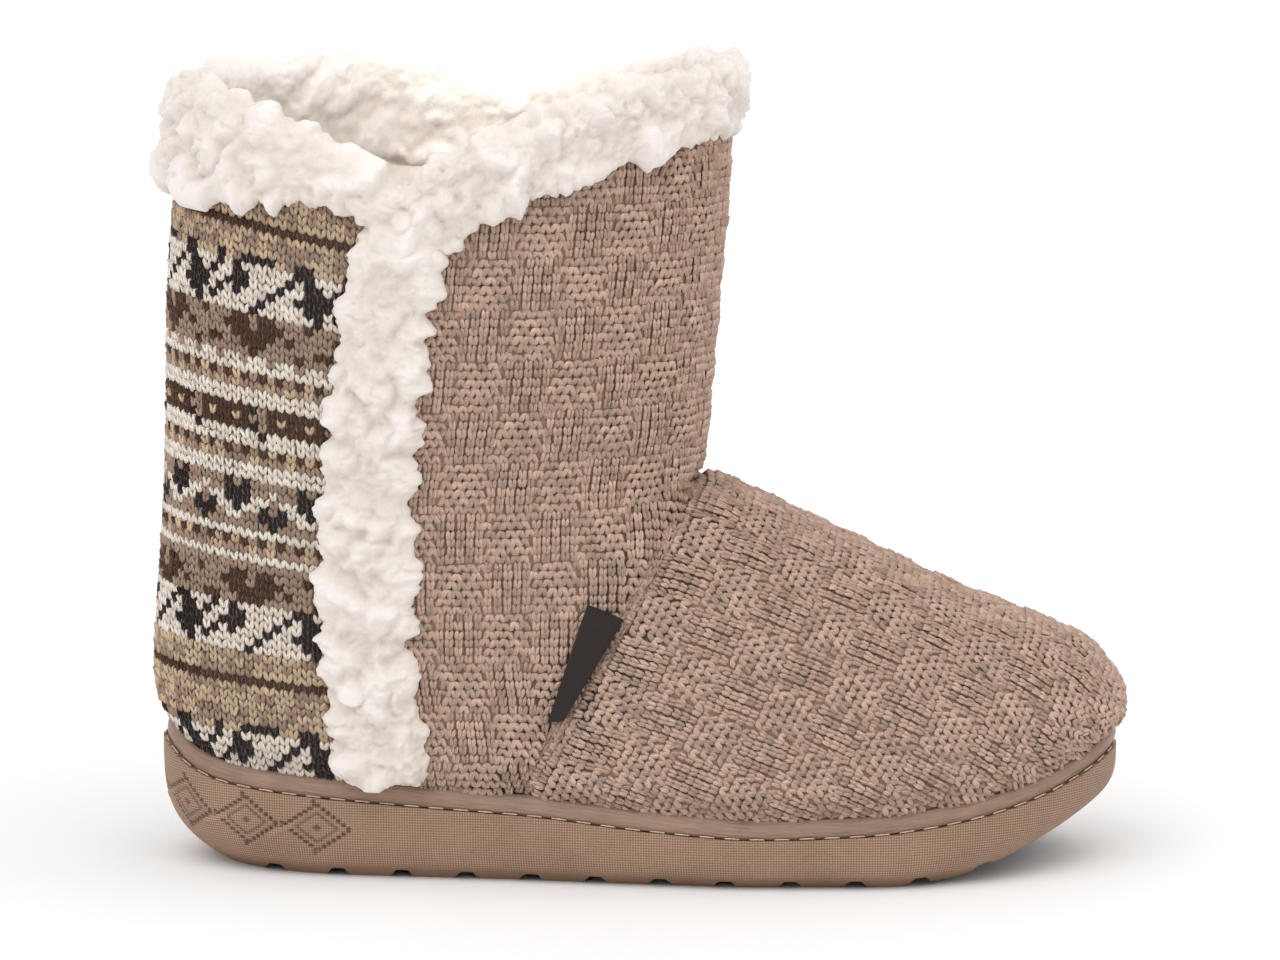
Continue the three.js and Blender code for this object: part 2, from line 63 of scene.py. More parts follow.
SOLE_OUTLINE = {
    "station": [0, 8, 20, 40, 65, 95, 130, 165, 195, 220, 240, 255, 265],
    "lateral": [0, 19, 27.5, 34, 37, 40.5, 46, 50, 50, 45, 35.5, 22, 0],
    "medial": [0, 19, 27.5, 33.5, 34.5, 35, 39, 45, 47.5, 45.5, 38.5, 27, 0],
}
RIM = {
    "station": [0, 9, 20, 40, 75, 105, 135, 165, 190, 210, 225, 241, 254, 265],
    "height": [39, 33, 30, 28, 25.5, 23.8, 20.8, 19.2, 20, 21.8, 24, 27.6, 31.8, 36.6],
}
TREAD = {
    "station": [0, 12, 35, 60, 200, 213, 226, 240, 252, 265],
    "height": [0, 0, 0, 0, 0, 0.9, 3.2, 8, 14, 22],
    "tuck": [17.5, 14, 9, 7, 7, 7.5, 8.5, 10.5, 13, 14.5],
}
RIDGE = {
    "height": [30, 42, 47, 55, 60, 65.5, 71.5, 79, 87.3, 94.8, 101, 107, 122, 140, 152],
    "station": [266.8, 266.6, 265.6, 261, 255, 243.2, 227, 210, 193, 177, 164.5, 148.5, 116, 60, -12],
}
SHAFT = {
    "height": [20, 40, 56, 76, 107, 130, 160, 190, 235],
    "back": [0.6, -0.4, -1.2, 0.2, 2.4, 3.1, 4, 6.6, 11.5],
    "front": [110, 121, 130, 139, 148.5, 151, 153.5, 156, 157.5],
    "half": [19, 27, 33, 38.5, 43, 45.5, 47, 48, 48.5],
}
COLLAR = {
    "share": [0, 0.11, 0.2, 0.28, 0.36, 0.42, 0.5, 0.58, 0.67, 0.76, 0.86, 1],
    "lateral_edge": [211, 209.5, 206, 200.5, 193, 187, 194, 200.5, 205.5, 209.5, 213, 216],
    "medial_edge": [211, 210.5, 209.5, 208, 206, 204.5, 203.5, 203.5, 205.5, 208.5, 212, 216],
    "lateral_hem": [188, 187, 187, 186.5, 182, 173, 174, 183.5, 190, 195, 199.5, 203.5],
    "medial_hem": [188, 187, 187, 187, 187, 187, 187.5, 188.5, 191, 195, 199.5, 203.5],
}
TRIM_LINE = {
    "height": [20, 40, 65, 95, 130, 155, 190],
    "station": [65, 62.5, 59, 59.5, 62, 65, 72],
}


# %% Curves through the tables
def curve(xs, ys):
    """A monotone cubic through the points, which never overshoots them."""
    x, y = np.asarray(xs, float), np.asarray(ys, float)
    rise = np.diff(y) / np.diff(x)
    slope = np.concatenate([rise[:1], np.zeros(len(x) - 2), rise[-1:]])
    same = rise[:-1] * rise[1:] > 0
    total = np.where(same, rise[:-1] + rise[1:], 1)
    slope[1:-1] = np.where(same, 2 * rise[:-1] * rise[1:] / total, 0)

    def at(value):
        v = np.clip(value, x[0], x[-1])
        i = np.clip(np.searchsorted(x, v) - 1, 0, len(x) - 2)
        width = x[i + 1] - x[i]
        t = (v - x[i]) / width
        ease = t * t * (3 - 2 * t)
        bend = slope[i] * t * (1 - t) ** 2 + slope[i + 1] * t * t * (t - 1)
        return y[i] + (y[i + 1] - y[i]) * ease + width * bend

    return at


def column(table, name):
    """The curve of one column of a table over the table's first column."""
    return curve(next(iter(table.values())), table[name])


def smoothstep(t):
    t = np.clip(t, 0, 1)
    return t * t * (3 - 2 * t)


def angle_of(station):
    return np.arccos(np.clip(1 - 2 * np.asarray(station, float) / SOLE_LENGTH, -1, 1))


def share_at(angle):
    return (1 - np.cos(angle)) / 2


outline_angles = angle_of(SOLE_OUTLINE["station"])
lateral_curve, medial_curve = (curve(outline_angles, SOLE_OUTLINE[key]) for key in ("lateral", "medial"))
rim_height = column(RIM, "height")
tread_height, tread_tuck = column(TREAD, "height"), column(TREAD, "tuck")
ridge_station = column(RIDGE, "station")
shaft_back, shaft_front, shaft_half = (column(SHAFT, key) for key in ("back", "front", "half"))
trim_station = column(TRIM_LINE, "station")
edge_curves = column(COLLAR, "lateral_edge"), column(COLLAR, "medial_edge")
hem_curves = column(COLLAR, "lateral_hem"), column(COLLAR, "medial_hem")


# %% The sole's outline and the upper's half-width
def sole_half(side, station):
    """Half-width of the sole: side is -1 on the outer side and 1 on the inner side."""
    angle = angle_of(station)
    return np.where(side < 0, lateral_curve(angle), medial_curve(angle))


def shelf_height(station):
    return rim_height(station) - WELT_HEIGHT


def shelf_at(angle):
    return shelf_height(SOLE_LENGTH * share_at(angle))


ridge_samples = np.linspace(RIDGE["height"][0], RIDGE["height"][-1], 2000)
ridge_lookup = ridge_station(ridge_samples)


def ridge_height(station):
    return np.interp(station, ridge_lookup[::-1], ridge_samples[::-1])


def upper_half(side, station, height):
    """Half-width of the upper: an arched foot form joined softly to an oval shaft."""
    back = shaft_back(height)
    reach = np.maximum(SOLE_LENGTH, ridge_station(height))
    fill = 1 - TOE_FILL * smoothstep((height - TOE_FILL_FROM) / (TOE_FILL_TO - TOE_FILL_FROM))
    along = (station - back) * SOLE_LENGTH * fill / (reach - back)
    floor = np.minimum(shelf_height(along), height)
    share = np.clip((height - floor) / np.maximum(ridge_height(station) - floor, 1e-6), 0, 1)
    foot = sole_half(side, along) * (1 - share ** ARCH_RISE) ** (1 / ARCH_ROUND)
    across = np.clip(2 * (station - back) / (shaft_front(height) - back) - 1, -1, 1)
    shaft = shaft_half(height) * np.sqrt(1 - across * across)
    return (foot ** JOIN + shaft ** JOIN) ** (1 / JOIN)


# %% Points on the upper
def side_of(angle):
    return np.where(np.sin(angle) < 0, -1, 1)


def unit(vectors):
    return vectors / np.maximum(np.linalg.norm(vectors, axis=-1, keepdims=True), 1e-9)


def upper_base(angle, height):
    """Point of the plain form: the angle is 0 at the back and pi in front, negative on the outer side."""
    back = shaft_back(height)
    front = np.where(height < THROAT_HEIGHT, ridge_station(height), shaft_front(height))
    station = back + (front - back) * share_at(angle)
    half = upper_half(side_of(angle), station, height)
    return np.stack([station, np.sign(np.sin(angle)) * half, height + 0 * station], axis=-1)


def feather_tuck(angle, height):
    """How far the knit is drawn in near the sole, to go under the welt."""
    return FEATHER_TUCK * (1 - smoothstep((height - shelf_at(angle)) / TUCK_HEIGHT))


def upper_normal(angle, height):
    around = upper_base(angle + 0.02, height) - upper_base(angle - 0.02, height)
    up = upper_base(angle, height + 0.4) - upper_base(angle, height - 0.4)
    return unit(np.cross(up, around))


def upper_point(angle, height, grow):
    """Point over the upper, moved out by grow."""
    move = grow - feather_tuck(angle, height)
    return upper_base(angle, height) + upper_normal(angle, height) * move[..., None]


def at_collar(curves, angle):
    share = share_at(angle)
    return np.where(np.sin(angle) < 0, curves[0](share), curves[1](share))


def outline_point(angle, inset):
    """Point of the sole's outline in plan, moved in towards the middle."""
    def at(a):
        station = SOLE_LENGTH * share_at(a)
        return np.stack([station, np.sign(np.sin(a)) * sole_half(side_of(a), station)], axis=-1)

    along = unit(at(angle + 0.01) - at(angle - 0.01))
    inward = np.stack([along[..., 1], -along[..., 0]], axis=-1)
    return at(angle) + inward * np.asarray(inset)[..., None]


print("shaft front at 150 mm:", upper_base(np.pi, 150).round(1))


# %% [markdown]
# ## Turning points into pieces
# Most pieces are grids of points.

# %% Mesh helpers
def to_metres(points):
    return (np.asarray(points, float).reshape(-1, 3) - [ORIGIN_STATION, 0, 0]) * MM


def grid_faces(rows, columns, ring=False, loop=True):
    """Quads between rows of points; loop closes each row, ring joins the last row to the first."""
    row = np.arange(rows if ring else rows - 1)[:, None]
    col = np.arange(columns if loop else columns - 1)[None, :]
    above, beside = (row + 1) % rows, (col + 1) % columns
    quads = [row * columns + col, row * columns + beside, above * columns + beside, above * columns + col]
    return np.stack(np.broadcast_arrays(*quads), axis=-1).reshape(-1, 4)


def put(name, data):
    thing = bpy.data.objects.new(name, data)
    bpy.context.collection.objects.link(thing)
    return thing


def add_mesh(name, points, faces, material=None, edges=()):
    mesh = bpy.data.meshes.new(name)
    mesh.from_pydata(to_metres(points).tolist(), edges, [tuple(map(int, face)) for face in faces])
    mesh.validate()
    mesh.shade_smooth()
    if material:
        mesh.materials.append(material)
    return put(name, mesh)


def paint(piece, name, values, kind="FLOAT"):
    """Stores one value (or colour or vector) per point under a name that materials and trees can read."""
    layer = piece.data.attributes.new(name, kind, "POINT")
    key = {"FLOAT_COLOR": "color", "FLOAT_VECTOR": "vector"}.get(kind, "value")
    layer.data.foreach_set(key, np.asarray(values, bool if kind == "BOOLEAN" else np.float32).ravel())


def declare(piece, slot, *nodes):
    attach(piece, "root")
    if nodes:
        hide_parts(*nodes)
    print(f"{piece.name}: {sum(len(f.vertices) - 2 for f in piece.data.polygons)} triangles")


# %% [markdown]
# ## Finishes
# A material is a small graph of nodes. A builder keeps each one short: it adds nodes, links sockets by
# name and sets plain numbers on the shader itself. Patterns read object coordinates, so that they stay put
# on the piece, or an attribute that the mesh carries.

# %% A small material builder
def srgb(red, green, blue):
    """A colour as read off a screen, 0 to 255, as the linear colour that shaders take."""
    parts = np.array([red, green, blue]) / 255
    linear = np.where(parts <= 0.04045, parts / 12.92, ((parts + 0.055) / 1.055) ** 2.4)
    return (*linear.tolist(), 1.0)


def grey(value):
    return (value, value, value, 1.0)


def add_node(tree, kind, inputs, settings):
    """Adds a node; an input is either a plain value or another node's output to link."""
    node = tree.nodes.new(kind)
    for key, value in settings.items():
        setattr(node, key, value)
    for socket, value in (inputs or {}).items():
        if isinstance(value, bpy.types.NodeSocket):
            tree.links.new(value, node.inputs[socket])
        else:
            node.inputs[socket].default_value = value
    return node


class Finish:
    def __init__(self, name, **shader):
        self.material = bpy.data.materials.new(name)
        self.material.use_nodes = True
        self.tree = self.material.node_tree
        self.shader = self.tree.nodes["Principled BSDF"]
        for socket, value in shader.items():
            label = socket.replace("_", " ").title().replace("Ior", "IOR")
            self.shader.inputs[label].default_value = value
        self.place = self.add("TexCoord").outputs["Object"]

    def add(self, kind, inputs=None, **settings):
        return add_node(self.tree, f"ShaderNode{kind}", inputs, settings)

    def link(self, output, socket):
        self.tree.links.new(output, self.shader.inputs[socket])

    def noise(self, scale, detail, roughness=0.6, place=None, distortion=0.0):
        inputs = {"Vector": place or self.place, "Scale": scale, "Detail": detail, "Roughness": roughness}
        return self.add("TexNoise", {**inputs, "Distortion": distortion}).outputs["Fac"]

    def mapped(self, place, **inputs):
        return self.add("Mapping", {"Vector": place, **inputs}).outputs["Vector"]

    def attribute(self, name, output="Fac"):
        return self.add("Attribute", attribute_name=name).outputs[output]

    def ramp(self, value, *stops):
        node = self.add("ValToRGB", {"Fac": value})
        elements = node.color_ramp.elements
        while len(elements) < len(stops):
            elements.new(0.5)
        for element, (position, colour) in zip(elements, stops):
            element.position, element.color = position, colour
        return node.outputs["Color"]

    def multiply(self, colour, other):
        inputs = {"Factor": 1.0, 6: colour, 7: other}
        return self.add("Mix", inputs, data_type="RGBA", blend_type="MULTIPLY").outputs[2]

    def math(self, operation, first, second):
        return self.add("Math", {0: first, 1: second}, operation=operation).outputs["Value"]

    def done(self, colour, height, distance, strength=1.0):
        """Links the colour and a bump of the given height, and hands back the material."""
        node = self.add("Bump", {"Height": height, "Distance": distance, "Strength": strength})
        self.link(node.outputs["Normal"], "Normal")
        self.link(colour, "Base Color")
        return self.material


# %% Yarn, sherpa and label finishes
def yarn_finish():
    """Soft plied yarn: the plies wind round each strand as light and dark lines, painted highlights on the
    plies and painted shade between them.
    """
    finish = Finish("yarn", roughness=0.92, sheen_weight=0.25, sheen_roughness=0.45, specular_ior_level=0.2)
    wind = finish.math("SINE", finish.math("MULTIPLY", finish.attribute("ply"), math.tau), 0.0)
    strand = finish.math("ADD", finish.math("MULTIPLY", wind, 0.24), finish.noise(1900, 2.0))
    # Painted ply shade and highlight: the shade is warmer, the highlights greyer.
    plies = finish.ramp(strand, (0.25, (0.8, 0.74, 0.67, 1)), (0.66, (1.02, 1.04, 1.07, 1)))
    mottle = finish.ramp(finish.noise(170, 3.0), (0.3, grey(0.9)), (0.7, grey(1.0)))
    colour = finish.multiply(finish.attribute("yarn", "Color"), plies)
    return finish.done(finish.multiply(colour, mottle), strand, 0.0004, 0.8)


def sherpa_finish():
    """White fleece, painted warmer and darker in its depths, which is painted shade in the creases, with
    fine fibres that run down the pile.
    """
    finish = Finish("sherpa", roughness=1.0, sheen_weight=0.3, sheen_roughness=0.6, specular_ior_level=0.1)
    combed = finish.mapped(finish.place, Scale=(1.0, 1.0, 0.4))
    fibre = finish.noise(480, 5.0, 0.7, combed, 1.5)
    # Painted shade: the lower the pile, the warmer and darker its colour.
    depths = [(0.0, srgb(226, 215, 204)), (0.5, srgb(235, 227, 219)), (1.0, srgb(244, 237, 231))]
    colour = finish.ramp(finish.attribute("pile"), *depths)
    colour = finish.multiply(colour, finish.ramp(fibre, (0.3, grey(0.95)), (0.6, grey(1.0))))
    return finish.done(colour, fibre, 0.0006, 0.5)


def label_finish():
    finish = Finish("woven_label", roughness=0.6, sheen_weight=0.1, specular_ior_level=0.3)
    wave = {"Vector": finish.place, "Scale": 620.0, "Distortion": 0.4}
    rib = finish.add("TexWave", wave, bands_direction="DIAGONAL").outputs["Fac"]
    return finish.done(finish.ramp(rib, (0.2, srgb(26, 18, 17)), (0.8, srgb(46, 33, 30))), rib, 0.0001, 0.6)


# %% Rubber and thread finishes
WEAVE_SCALE = 0.314 / 0.72


def sole_finish():
    """Moulded rubber with a fine woven texture, smooth along its lower edge. The weave's light and dark are
    painted highlight and shade; the lower edge and the pressed dots are painted darker, as painted shade,
    and the raised bar lighter, as a painted highlight.
    """
    finish = Finish("sole_rubber", roughness=0.58, specular_ior_level=0.4)
    place = finish.attribute("cloth", "Vector")
    weave = []
    for turned in (0.0, math.pi / 2):
        wave = {"Vector": finish.mapped(place, Rotation=(0, 0, turned)), "Scale": WEAVE_SCALE}
        wave.update({"Distortion": 0.6, "Detail": 1.0})
        weave.append(finish.add("TexWave", wave, bands_direction="X").outputs["Fac"])
    height = finish.add("SeparateXYZ", {0: place}).outputs["Y"]
    # Where the side is less than 2.5 to 5 mm over the floor the weave fades out and the edge takes the
    # darkest tone: painted shade where the side rolls under.
    shaded_smooth_skirt = finish.add("MapRange", {"Value": height, "From Min": 2.5, "From Max": 5.0}).outputs["Result"]
    cloth = finish.math("MULTIPLY", finish.math("MULTIPLY", *weave), shaded_smooth_skirt)
    colour = finish.ramp(finish.noise(60, 4.0), (0.3, srgb(150, 124, 104)), (0.7, srgb(163, 136, 115)))
    # The weave's light and dark are painted highlights on its raised threads and painted shade between them.
    colour = finish.multiply(colour, finish.ramp(cloth, (0.0, (0.67, 0.6, 0.53, 1)), (0.7, grey(1.5))))
    # Painted shade in the pressed dots and a painted highlight on the raised bar, by how deep the rubber is
    # pressed.
    press_shade_and_highlight = [(0.0, grey(1.12)), (0.34, grey(1.0)), (0.95, grey(0.42))]
    colour = finish.multiply(colour, finish.ramp(finish.attribute("press"), *press_shade_and_highlight))
    return finish.done(colour, cloth, 0.0002, 0.8)


def welt_finish():
    """Thin rubber band with fine streaks along it, where it was stretched round the sole."""
    finish = Finish("welt_rubber", roughness=0.42, specular_ior_level=0.45)
    stretched = finish.mapped(finish.attribute("band", "Vector"), Scale=(0.12, 1.5, 1.0))
    streaks = finish.noise(1.0, 3.0, 0.5, stretched)
    colour = finish.ramp(finish.noise(90, 5.0), (0.3, srgb(142, 116, 98)), (0.7, srgb(160, 132, 112)))
    colour = finish.multiply(colour, finish.ramp(streaks, (0.35, grey(0.84)), (0.65, grey(1.1))))
    return finish.done(colour, streaks, 0.0005, 0.8)


def thread_finish():
    finish = Finish("thread", roughness=0.7, sheen_weight=0.1)
    twist = finish.noise(1400, 1.0)
    colour = finish.ramp(twist, (0.3, srgb(186, 158, 134)), (0.7, srgb(220, 194, 168)))
    return finish.done(colour, twist, 0.0002)


YARN, SHERPA, SOLE = yarn_finish(), sherpa_finish(), sole_finish()
WELT, THREAD, LABEL = welt_finish(), thread_finish(), label_finish()
print("finishes:", ", ".join(m.name for m in (YARN, SHERPA, SOLE, WELT, THREAD, LABEL)))

# %% [markdown]
# ## Side and tread of the sole
# The sole is one moulding: its side rolls under to a tread of bars, and heel and toe lift off the floor. A
# loft of many loops is smooth enough to show no facets. The grooves between the bars are cut by lifting
# every point that lies below a groove's ceiling. Loops are closest together round the heel, where the
# ornament is.

# %% Loops, side and grooves
HEEL_TURN, HEEL_STEPS, FOOT_STEPS = 0.95, 260, 300
HALF_LOOP = np.concatenate([np.linspace(0, HEEL_TURN, HEEL_STEPS, endpoint=False),
                            np.linspace(HEEL_TURN, np.pi, FOOT_STEPS, endpoint=False)])
LOOP = -np.concatenate([HALF_LOOP, [np.pi], 2 * np.pi - HALF_LOOP[:0:-1]])
GROOVE = {"first": 32.3, "pitch": 17.6, "count": 12, "mouth": 6, "floor": 3.4, "depth": 2.2}
ROLL = 3.8


def groove_ceiling(station):
    """Height of the tread's underside over the floor, with the grooves between its bars."""
    number = np.clip(np.round((station - GROOVE["first"]) / GROOVE["pitch"]), 0, GROOVE["count"] - 1)
    away = np.abs(station - GROOVE["first"] - GROOVE["pitch"] * number)
    ramp = (GROOVE["mouth"] - GROOVE["floor"]) / 2
    return tread_height(station) + GROOVE["depth"] * np.clip((GROOVE["mouth"] / 2 - away) / ramp, 0, 1)


def sole_wall(angle, share):
    """Point on the sole's side: share runs from the tread to the shelf under the welt."""
    tuck = tread_tuck(SOLE_LENGTH * share_at(angle))
    low = tread_height(outline_point(angle, tuck)[..., 0])
    height = low + (shelf_at(angle) - low) * share
    return np.concatenate([outline_point(angle, tuck * (1 - share) ** ROLL), height[..., None]], axis=-1)


# %% [markdown]
# ## Ornament at the heel
# Round the heel a row of diamonds is pressed into the rubber: dots along the edges, a beaded line and a
# core inside, and a slanting raised bar between two diamonds. The mould's pattern is a function of the
# distance round the heel and the height, so the loft's own points can be pushed in by it.

# %% Dotted diamonds
DIAMOND = {"pitch": 20.5, "width": 9.7, "height": 6.9, "share": 0.64, "each_side": 3, "depth": 0.6}
DOTS = {"per_unit": 3.5, "first": -4, "last": 3, "edge": 0.95, "radius": 0.85, "soft": 0.51}
INNER = {"at": 0.6, "half": 0.55, "soft": 0.35, "core": 0.2, "core_slope": 8, "beads": 4, "depth": 0.8}
BAR = {"slope": math.radians(27), "half_length": 5.0, "half_width": 1.0, "below": 1.6, "rise": 0.5}
BAR_END_SOFT, BAR_SIDE_SOFT = 0.8, 0.5


def walk(points):
    """Distance walked from the first point to each of the points."""
    return np.concatenate([[0], np.cumsum(np.linalg.norm(np.diff(points, axis=0), axis=1))])


def walk_round(angle):
    """Distance round the sole's edge from the middle of the heel."""
    plan = outline_point(angle, 0)
    walked = walk(plan)
    whole = walked[-1] + np.linalg.norm(plan[0] - plan[-1])
    return np.where(walked > whole / 2, walked - whole, walked)


def diamond_press(around, above):
    """How deep the ornament is pressed, by distance round the heel and height over the diamonds' middle."""
    width, height, pitch, ends = (DIAMOND[key] for key in ("width", "height", "pitch", "each_side"))
    u = (around - np.clip(np.round(around / pitch), -ends, ends) * pitch) / width
    v = above / height
    deep = np.zeros(above.shape)
    for edge, along in ((u + v, u - v), (u - v, u + v)):
        number = np.clip(np.round(along * DOTS["per_unit"]), DOTS["first"], DOTS["last"])
        off, rest = np.abs(edge) - DOTS["edge"], along - number / DOTS["per_unit"]
        away = np.hypot(width * (off + rest), height * (off - rest)) / 2
        deep = np.maximum(deep, smoothstep((DOTS["radius"] - away) / DOTS["soft"]))
    ring = np.abs(u) + np.abs(v)
    reach = width * height / math.hypot(width, height)
    beads = 0.75 + 0.25 * np.cos(2 * np.pi * INNER["beads"] * (u - v))
    line = smoothstep((INNER["half"] - np.abs(ring - INNER["at"]) * reach) / INNER["soft"]) * beads
    core = smoothstep((INNER["core"] - ring) * INNER["core_slope"])
    deep = np.maximum(deep, INNER["depth"] * np.maximum(line, core))
    between, level = (np.mod(around / pitch, 1) - 0.5) * pitch, above + BAR["below"]
    cos, sin = math.cos(BAR["slope"]), math.sin(BAR["slope"])
    bar = smoothstep((BAR["half_length"] - np.abs(between * cos + level * sin)) / BAR_END_SOFT)
    bar *= smoothstep((BAR["half_width"] - np.abs(level * cos - between * sin)) / BAR_SIDE_SOFT)
    bar *= np.abs(around) < ends * pitch
    return DIAMOND["depth"] * (deep * (1 - bar) - BAR["rise"] * bar)


# %% [markdown]
# ## Sole and welt
# The loft closes straight across underneath and on top, where the insole hides it. The welt is a thin band
# that stands on the sole's shelf and leans in over the knit, a little swollen between its edges.

# %% Outsole
FLANK_FROM, FLANK_TO = 0.38, 0.93
WALL_SHARES = np.concatenate([np.linspace(0, FLANK_FROM, 10, endpoint=False),
                              np.linspace(FLANK_FROM, FLANK_TO, 42), [0.95, 0.97, 0.985, 1]])
SHELF_STEPS = ((0.0, 0.5), (-0.15, 1.2), (-0.35, 9.0))


def shut(rows, size):
    """Faces that close the first and last row, from one side of the shoe straight across to the other."""
    faces, last = [], (rows - 1) * size
    for i in range(size // 2):
        across = list(dict.fromkeys([(size - i - 1) % size, (size - i) % size, i, i + 1]))
        faces += [across, [last + k for k in reversed(across)]]
    return faces


def edge_line(angle, inset, lift):
    """Points over the sole's shelf, set in from its outline."""
    return np.concatenate([outline_point(angle, inset), (shelf_at(angle) + lift)[:, None]], axis=1)


def outsole():
    shelf = [edge_line(LOOP, inset, lift) for lift, inset in SHELF_STEPS]
    points = np.concatenate([sole_wall(LOOP, WALL_SHARES[:, None]), shelf])
    points[..., 2] = np.maximum(points[..., 2], groove_ceiling(points[..., 0]))
    around = np.broadcast_to(walk_round(LOOP), points.shape[:2])
    press = diamond_press(around, points[..., 2] - sole_wall(LOOP, DIAMOND["share"])[:, 2])
    press[len(WALL_SHARES):] = 0
    press[0] = 0
    inward = outline_point(LOOP, 1.0) - outline_point(LOOP, 0)
    points[..., :2] += inward * press[..., None]
    faces = grid_faces(len(points), len(LOOP)).tolist() + shut(len(points), len(LOOP))
    piece = add_mesh("outsole_moulding", points, faces, SOLE)
    # The press depth is painted as well, for the painted shade in the dots and the painted highlight on the
    # bar.
    paint(piece, "press", (press / DIAMOND["depth"] + BAR["rise"]) / (1 + BAR["rise"]))
    paint(piece, "cloth", np.stack([around, points[..., 2], 0 * around], axis=-1), "FLOAT_VECTOR")
    return piece


declare(outsole(), "sole_rubber", "outsole")

# %% Welt
FIT_GAP = 0.3
WELT_EDGE, WELT_INSET, WELT_LIFT, WELT_STEP = 1.6, 1.4, 0.1, 0.8
WELT_CROWN, WELT_SWELL, WELT_LIP = 0.35, 0.55, 0.35


def welt():
    base, top = shelf_at(LOOP) + WELT_LIFT, rim_height(SOLE_LENGTH * share_at(LOOP))
    foot = edge_line(LOOP, WELT_INSET, WELT_LIFT)
    head, inner_top = upper_point(LOOP, top, FIT_GAP + WELT_EDGE), upper_point(LOOP, top, FIT_GAP)
    bulge = unit(head - inner_top)
    rows = [upper_point(LOOP, base, FIT_GAP), inner_top, inner_top * 0.5 + head * 0.5 + [0, 0, WELT_CROWN]]
    for share in np.linspace(0, 1, 8):
        swell = WELT_SWELL * math.sin(math.pi * share) - WELT_LIP * (share == 0)
        rows.append(head * (1 - share) + foot * share + bulge * swell)
    piece = add_mesh("welt_band", rows, grid_faces(len(rows), len(LOOP), ring=True)[:, ::-1], WELT)
    around, down = np.meshgrid(walk_round(LOOP), np.arange(len(rows)) * WELT_STEP)
    paint(piece, "band", np.stack([around, down, 0 * around], axis=-1), "FLOAT_VECTOR")
    return piece


declare(welt(), "welt_rubber", "welt")

# %% [markdown]
# ## Camera, light and floor
# The photograph looks at the outer side from a little above, with a long lens. A wide white floor, an even
# white sky and two soft lamps give the same quiet studio shade. A small lamp with a narrow beam looks into
# the opening, so that the far lining is as light as in the photograph.

# %% Stage
TARGET = Vector((132.5 - ORIGIN_STATION, 0, 105)) * MM
INSIDE = (0.045, 0.04, 0.175)
DISTANCE, ELEVATION = 1.4, math.radians(8.9)
SENSOR, PIXELS_PER_METRE, IMAGE_WIDTH = 36, 3620, 1280
FLOOR_REACH = 12000


def aim(name, data, place, target):
    """Puts a camera or lamp at its place and turns it to its target."""
    thing = put(name, data)
    thing.location = place
    thing.rotation_euler = (Vector(target) - Vector(place)).to_track_quat("-Z", "Y").to_euler()
    return thing


def lamp(name, kind, place, target, **settings):
    data = bpy.data.lights.new(name, kind)
    for key, value in settings.items():
        setattr(data, key, value)
    aim(name, data, place, target)


def camera():
    data = bpy.data.cameras.new("photo_camera")
    data.sensor_width = SENSOR
    data.lens = SENSOR * PIXELS_PER_METRE * DISTANCE / IMAGE_WIDTH
    away = Vector((0, -math.cos(ELEVATION), math.sin(ELEVATION)))
    bpy.context.scene.camera = aim("photo_camera", data, TARGET + away * DISTANCE, TARGET)


def floor_and_sky():
    finish = Finish("studio_floor", roughness=0.9, base_color=grey(0.97), specular_ior_level=0.1)
    corners = FLOOR_REACH * np.array([(-1, -1, 0), (1, -1, 0), (1, 1, 0), (-1, 1, 0)])
    add_mesh("studio_floor", corners, [(0, 1, 2, 3)], finish.material)
    world = bpy.data.worlds.new("studio_sky")
    world.use_nodes = True
    background = world.node_tree.nodes["Background"].inputs
    background["Color"].default_value, background["Strength"].default_value = grey(1.0), 0.8
    bpy.context.scene.world = world


camera()
lamp("key_light", "SUN", (-0.5, -0.9, 1.4), TARGET, angle=math.radians(50), energy=0.75)
lamp("toe_light", "SUN", (0.9, -0.3, 1.5), TARGET, angle=math.radians(60), energy=0.55)
lamp("opening_light", "AREA", (0.03, -0.3, 0.72), INSIDE,
     shape="DISK", size=0.06, energy=0.014, spread=math.radians(12))
floor_and_sky()
bpy.context.scene.view_settings.view_transform = "Standard"
print("camera", round(bpy.context.scene.camera.data.lens), "mm")

# %% [markdown]
# ## The knitted wall
# Under the stitches lies the fabric's own ground: a thin wall that follows the form from the welt to the
# collar. It comes up between the stitches, and dips along the seam where vamp and shaft are sewn together.
# Its colour is painted shade, darker than the yarn, for the gaps between the stitches.

# %% Seam of the vamp
SEAM_FOOT, SEAM_TOP = (99, 24), (148.5, 107)
SEAM_RUN, SEAM_RISE = SEAM_TOP[0] - SEAM_FOOT[0], SEAM_TOP[1] - SEAM_FOOT[1]
SEAM_DIP, SEAM_WIDTH, SEAM_END = 2.2, 2.6, 6
SEAM_SWELL, SWELL_ASIDE, SWELL_WIDTH = 0.5, 8, 5


def seam_station(height):
    return SEAM_FOOT[0] + SEAM_RUN * ((height - SEAM_FOOT[1]) / SEAM_RISE)


def seam_lift(station, height, depth=SEAM_DIP, width=SEAM_WIDTH):
    """Trough along the vamp seam with a soft swell on both sides."""
    away = (station - seam_station(height)) * math.cos(math.atan2(SEAM_RUN, SEAM_RISE))
    below = smoothstep((SEAM_TOP[1] + SEAM_END - height) / SEAM_END)
    swell = SEAM_SWELL * np.exp(-(((np.abs(away) - SWELL_ASIDE) / SWELL_WIDTH) ** 2))
    return (swell - depth * np.exp(-((away / width) ** 2))) * below


# %% Ground of the knit
GROUND_RISE, CUFF_COVER, LEAST_WALL = 0.3, 2, 0.5
# The ground is painted shade: darker and warmer than the yarn, as the gaps between stitches are. Behind the
# back panel it is darker still, partly the dark strands carried behind the pattern and partly painted shade.
GAP_SHADE_TAUPE, GAP_SHADE_BACK = srgb(160, 128, 104), srgb(112, 90, 75)


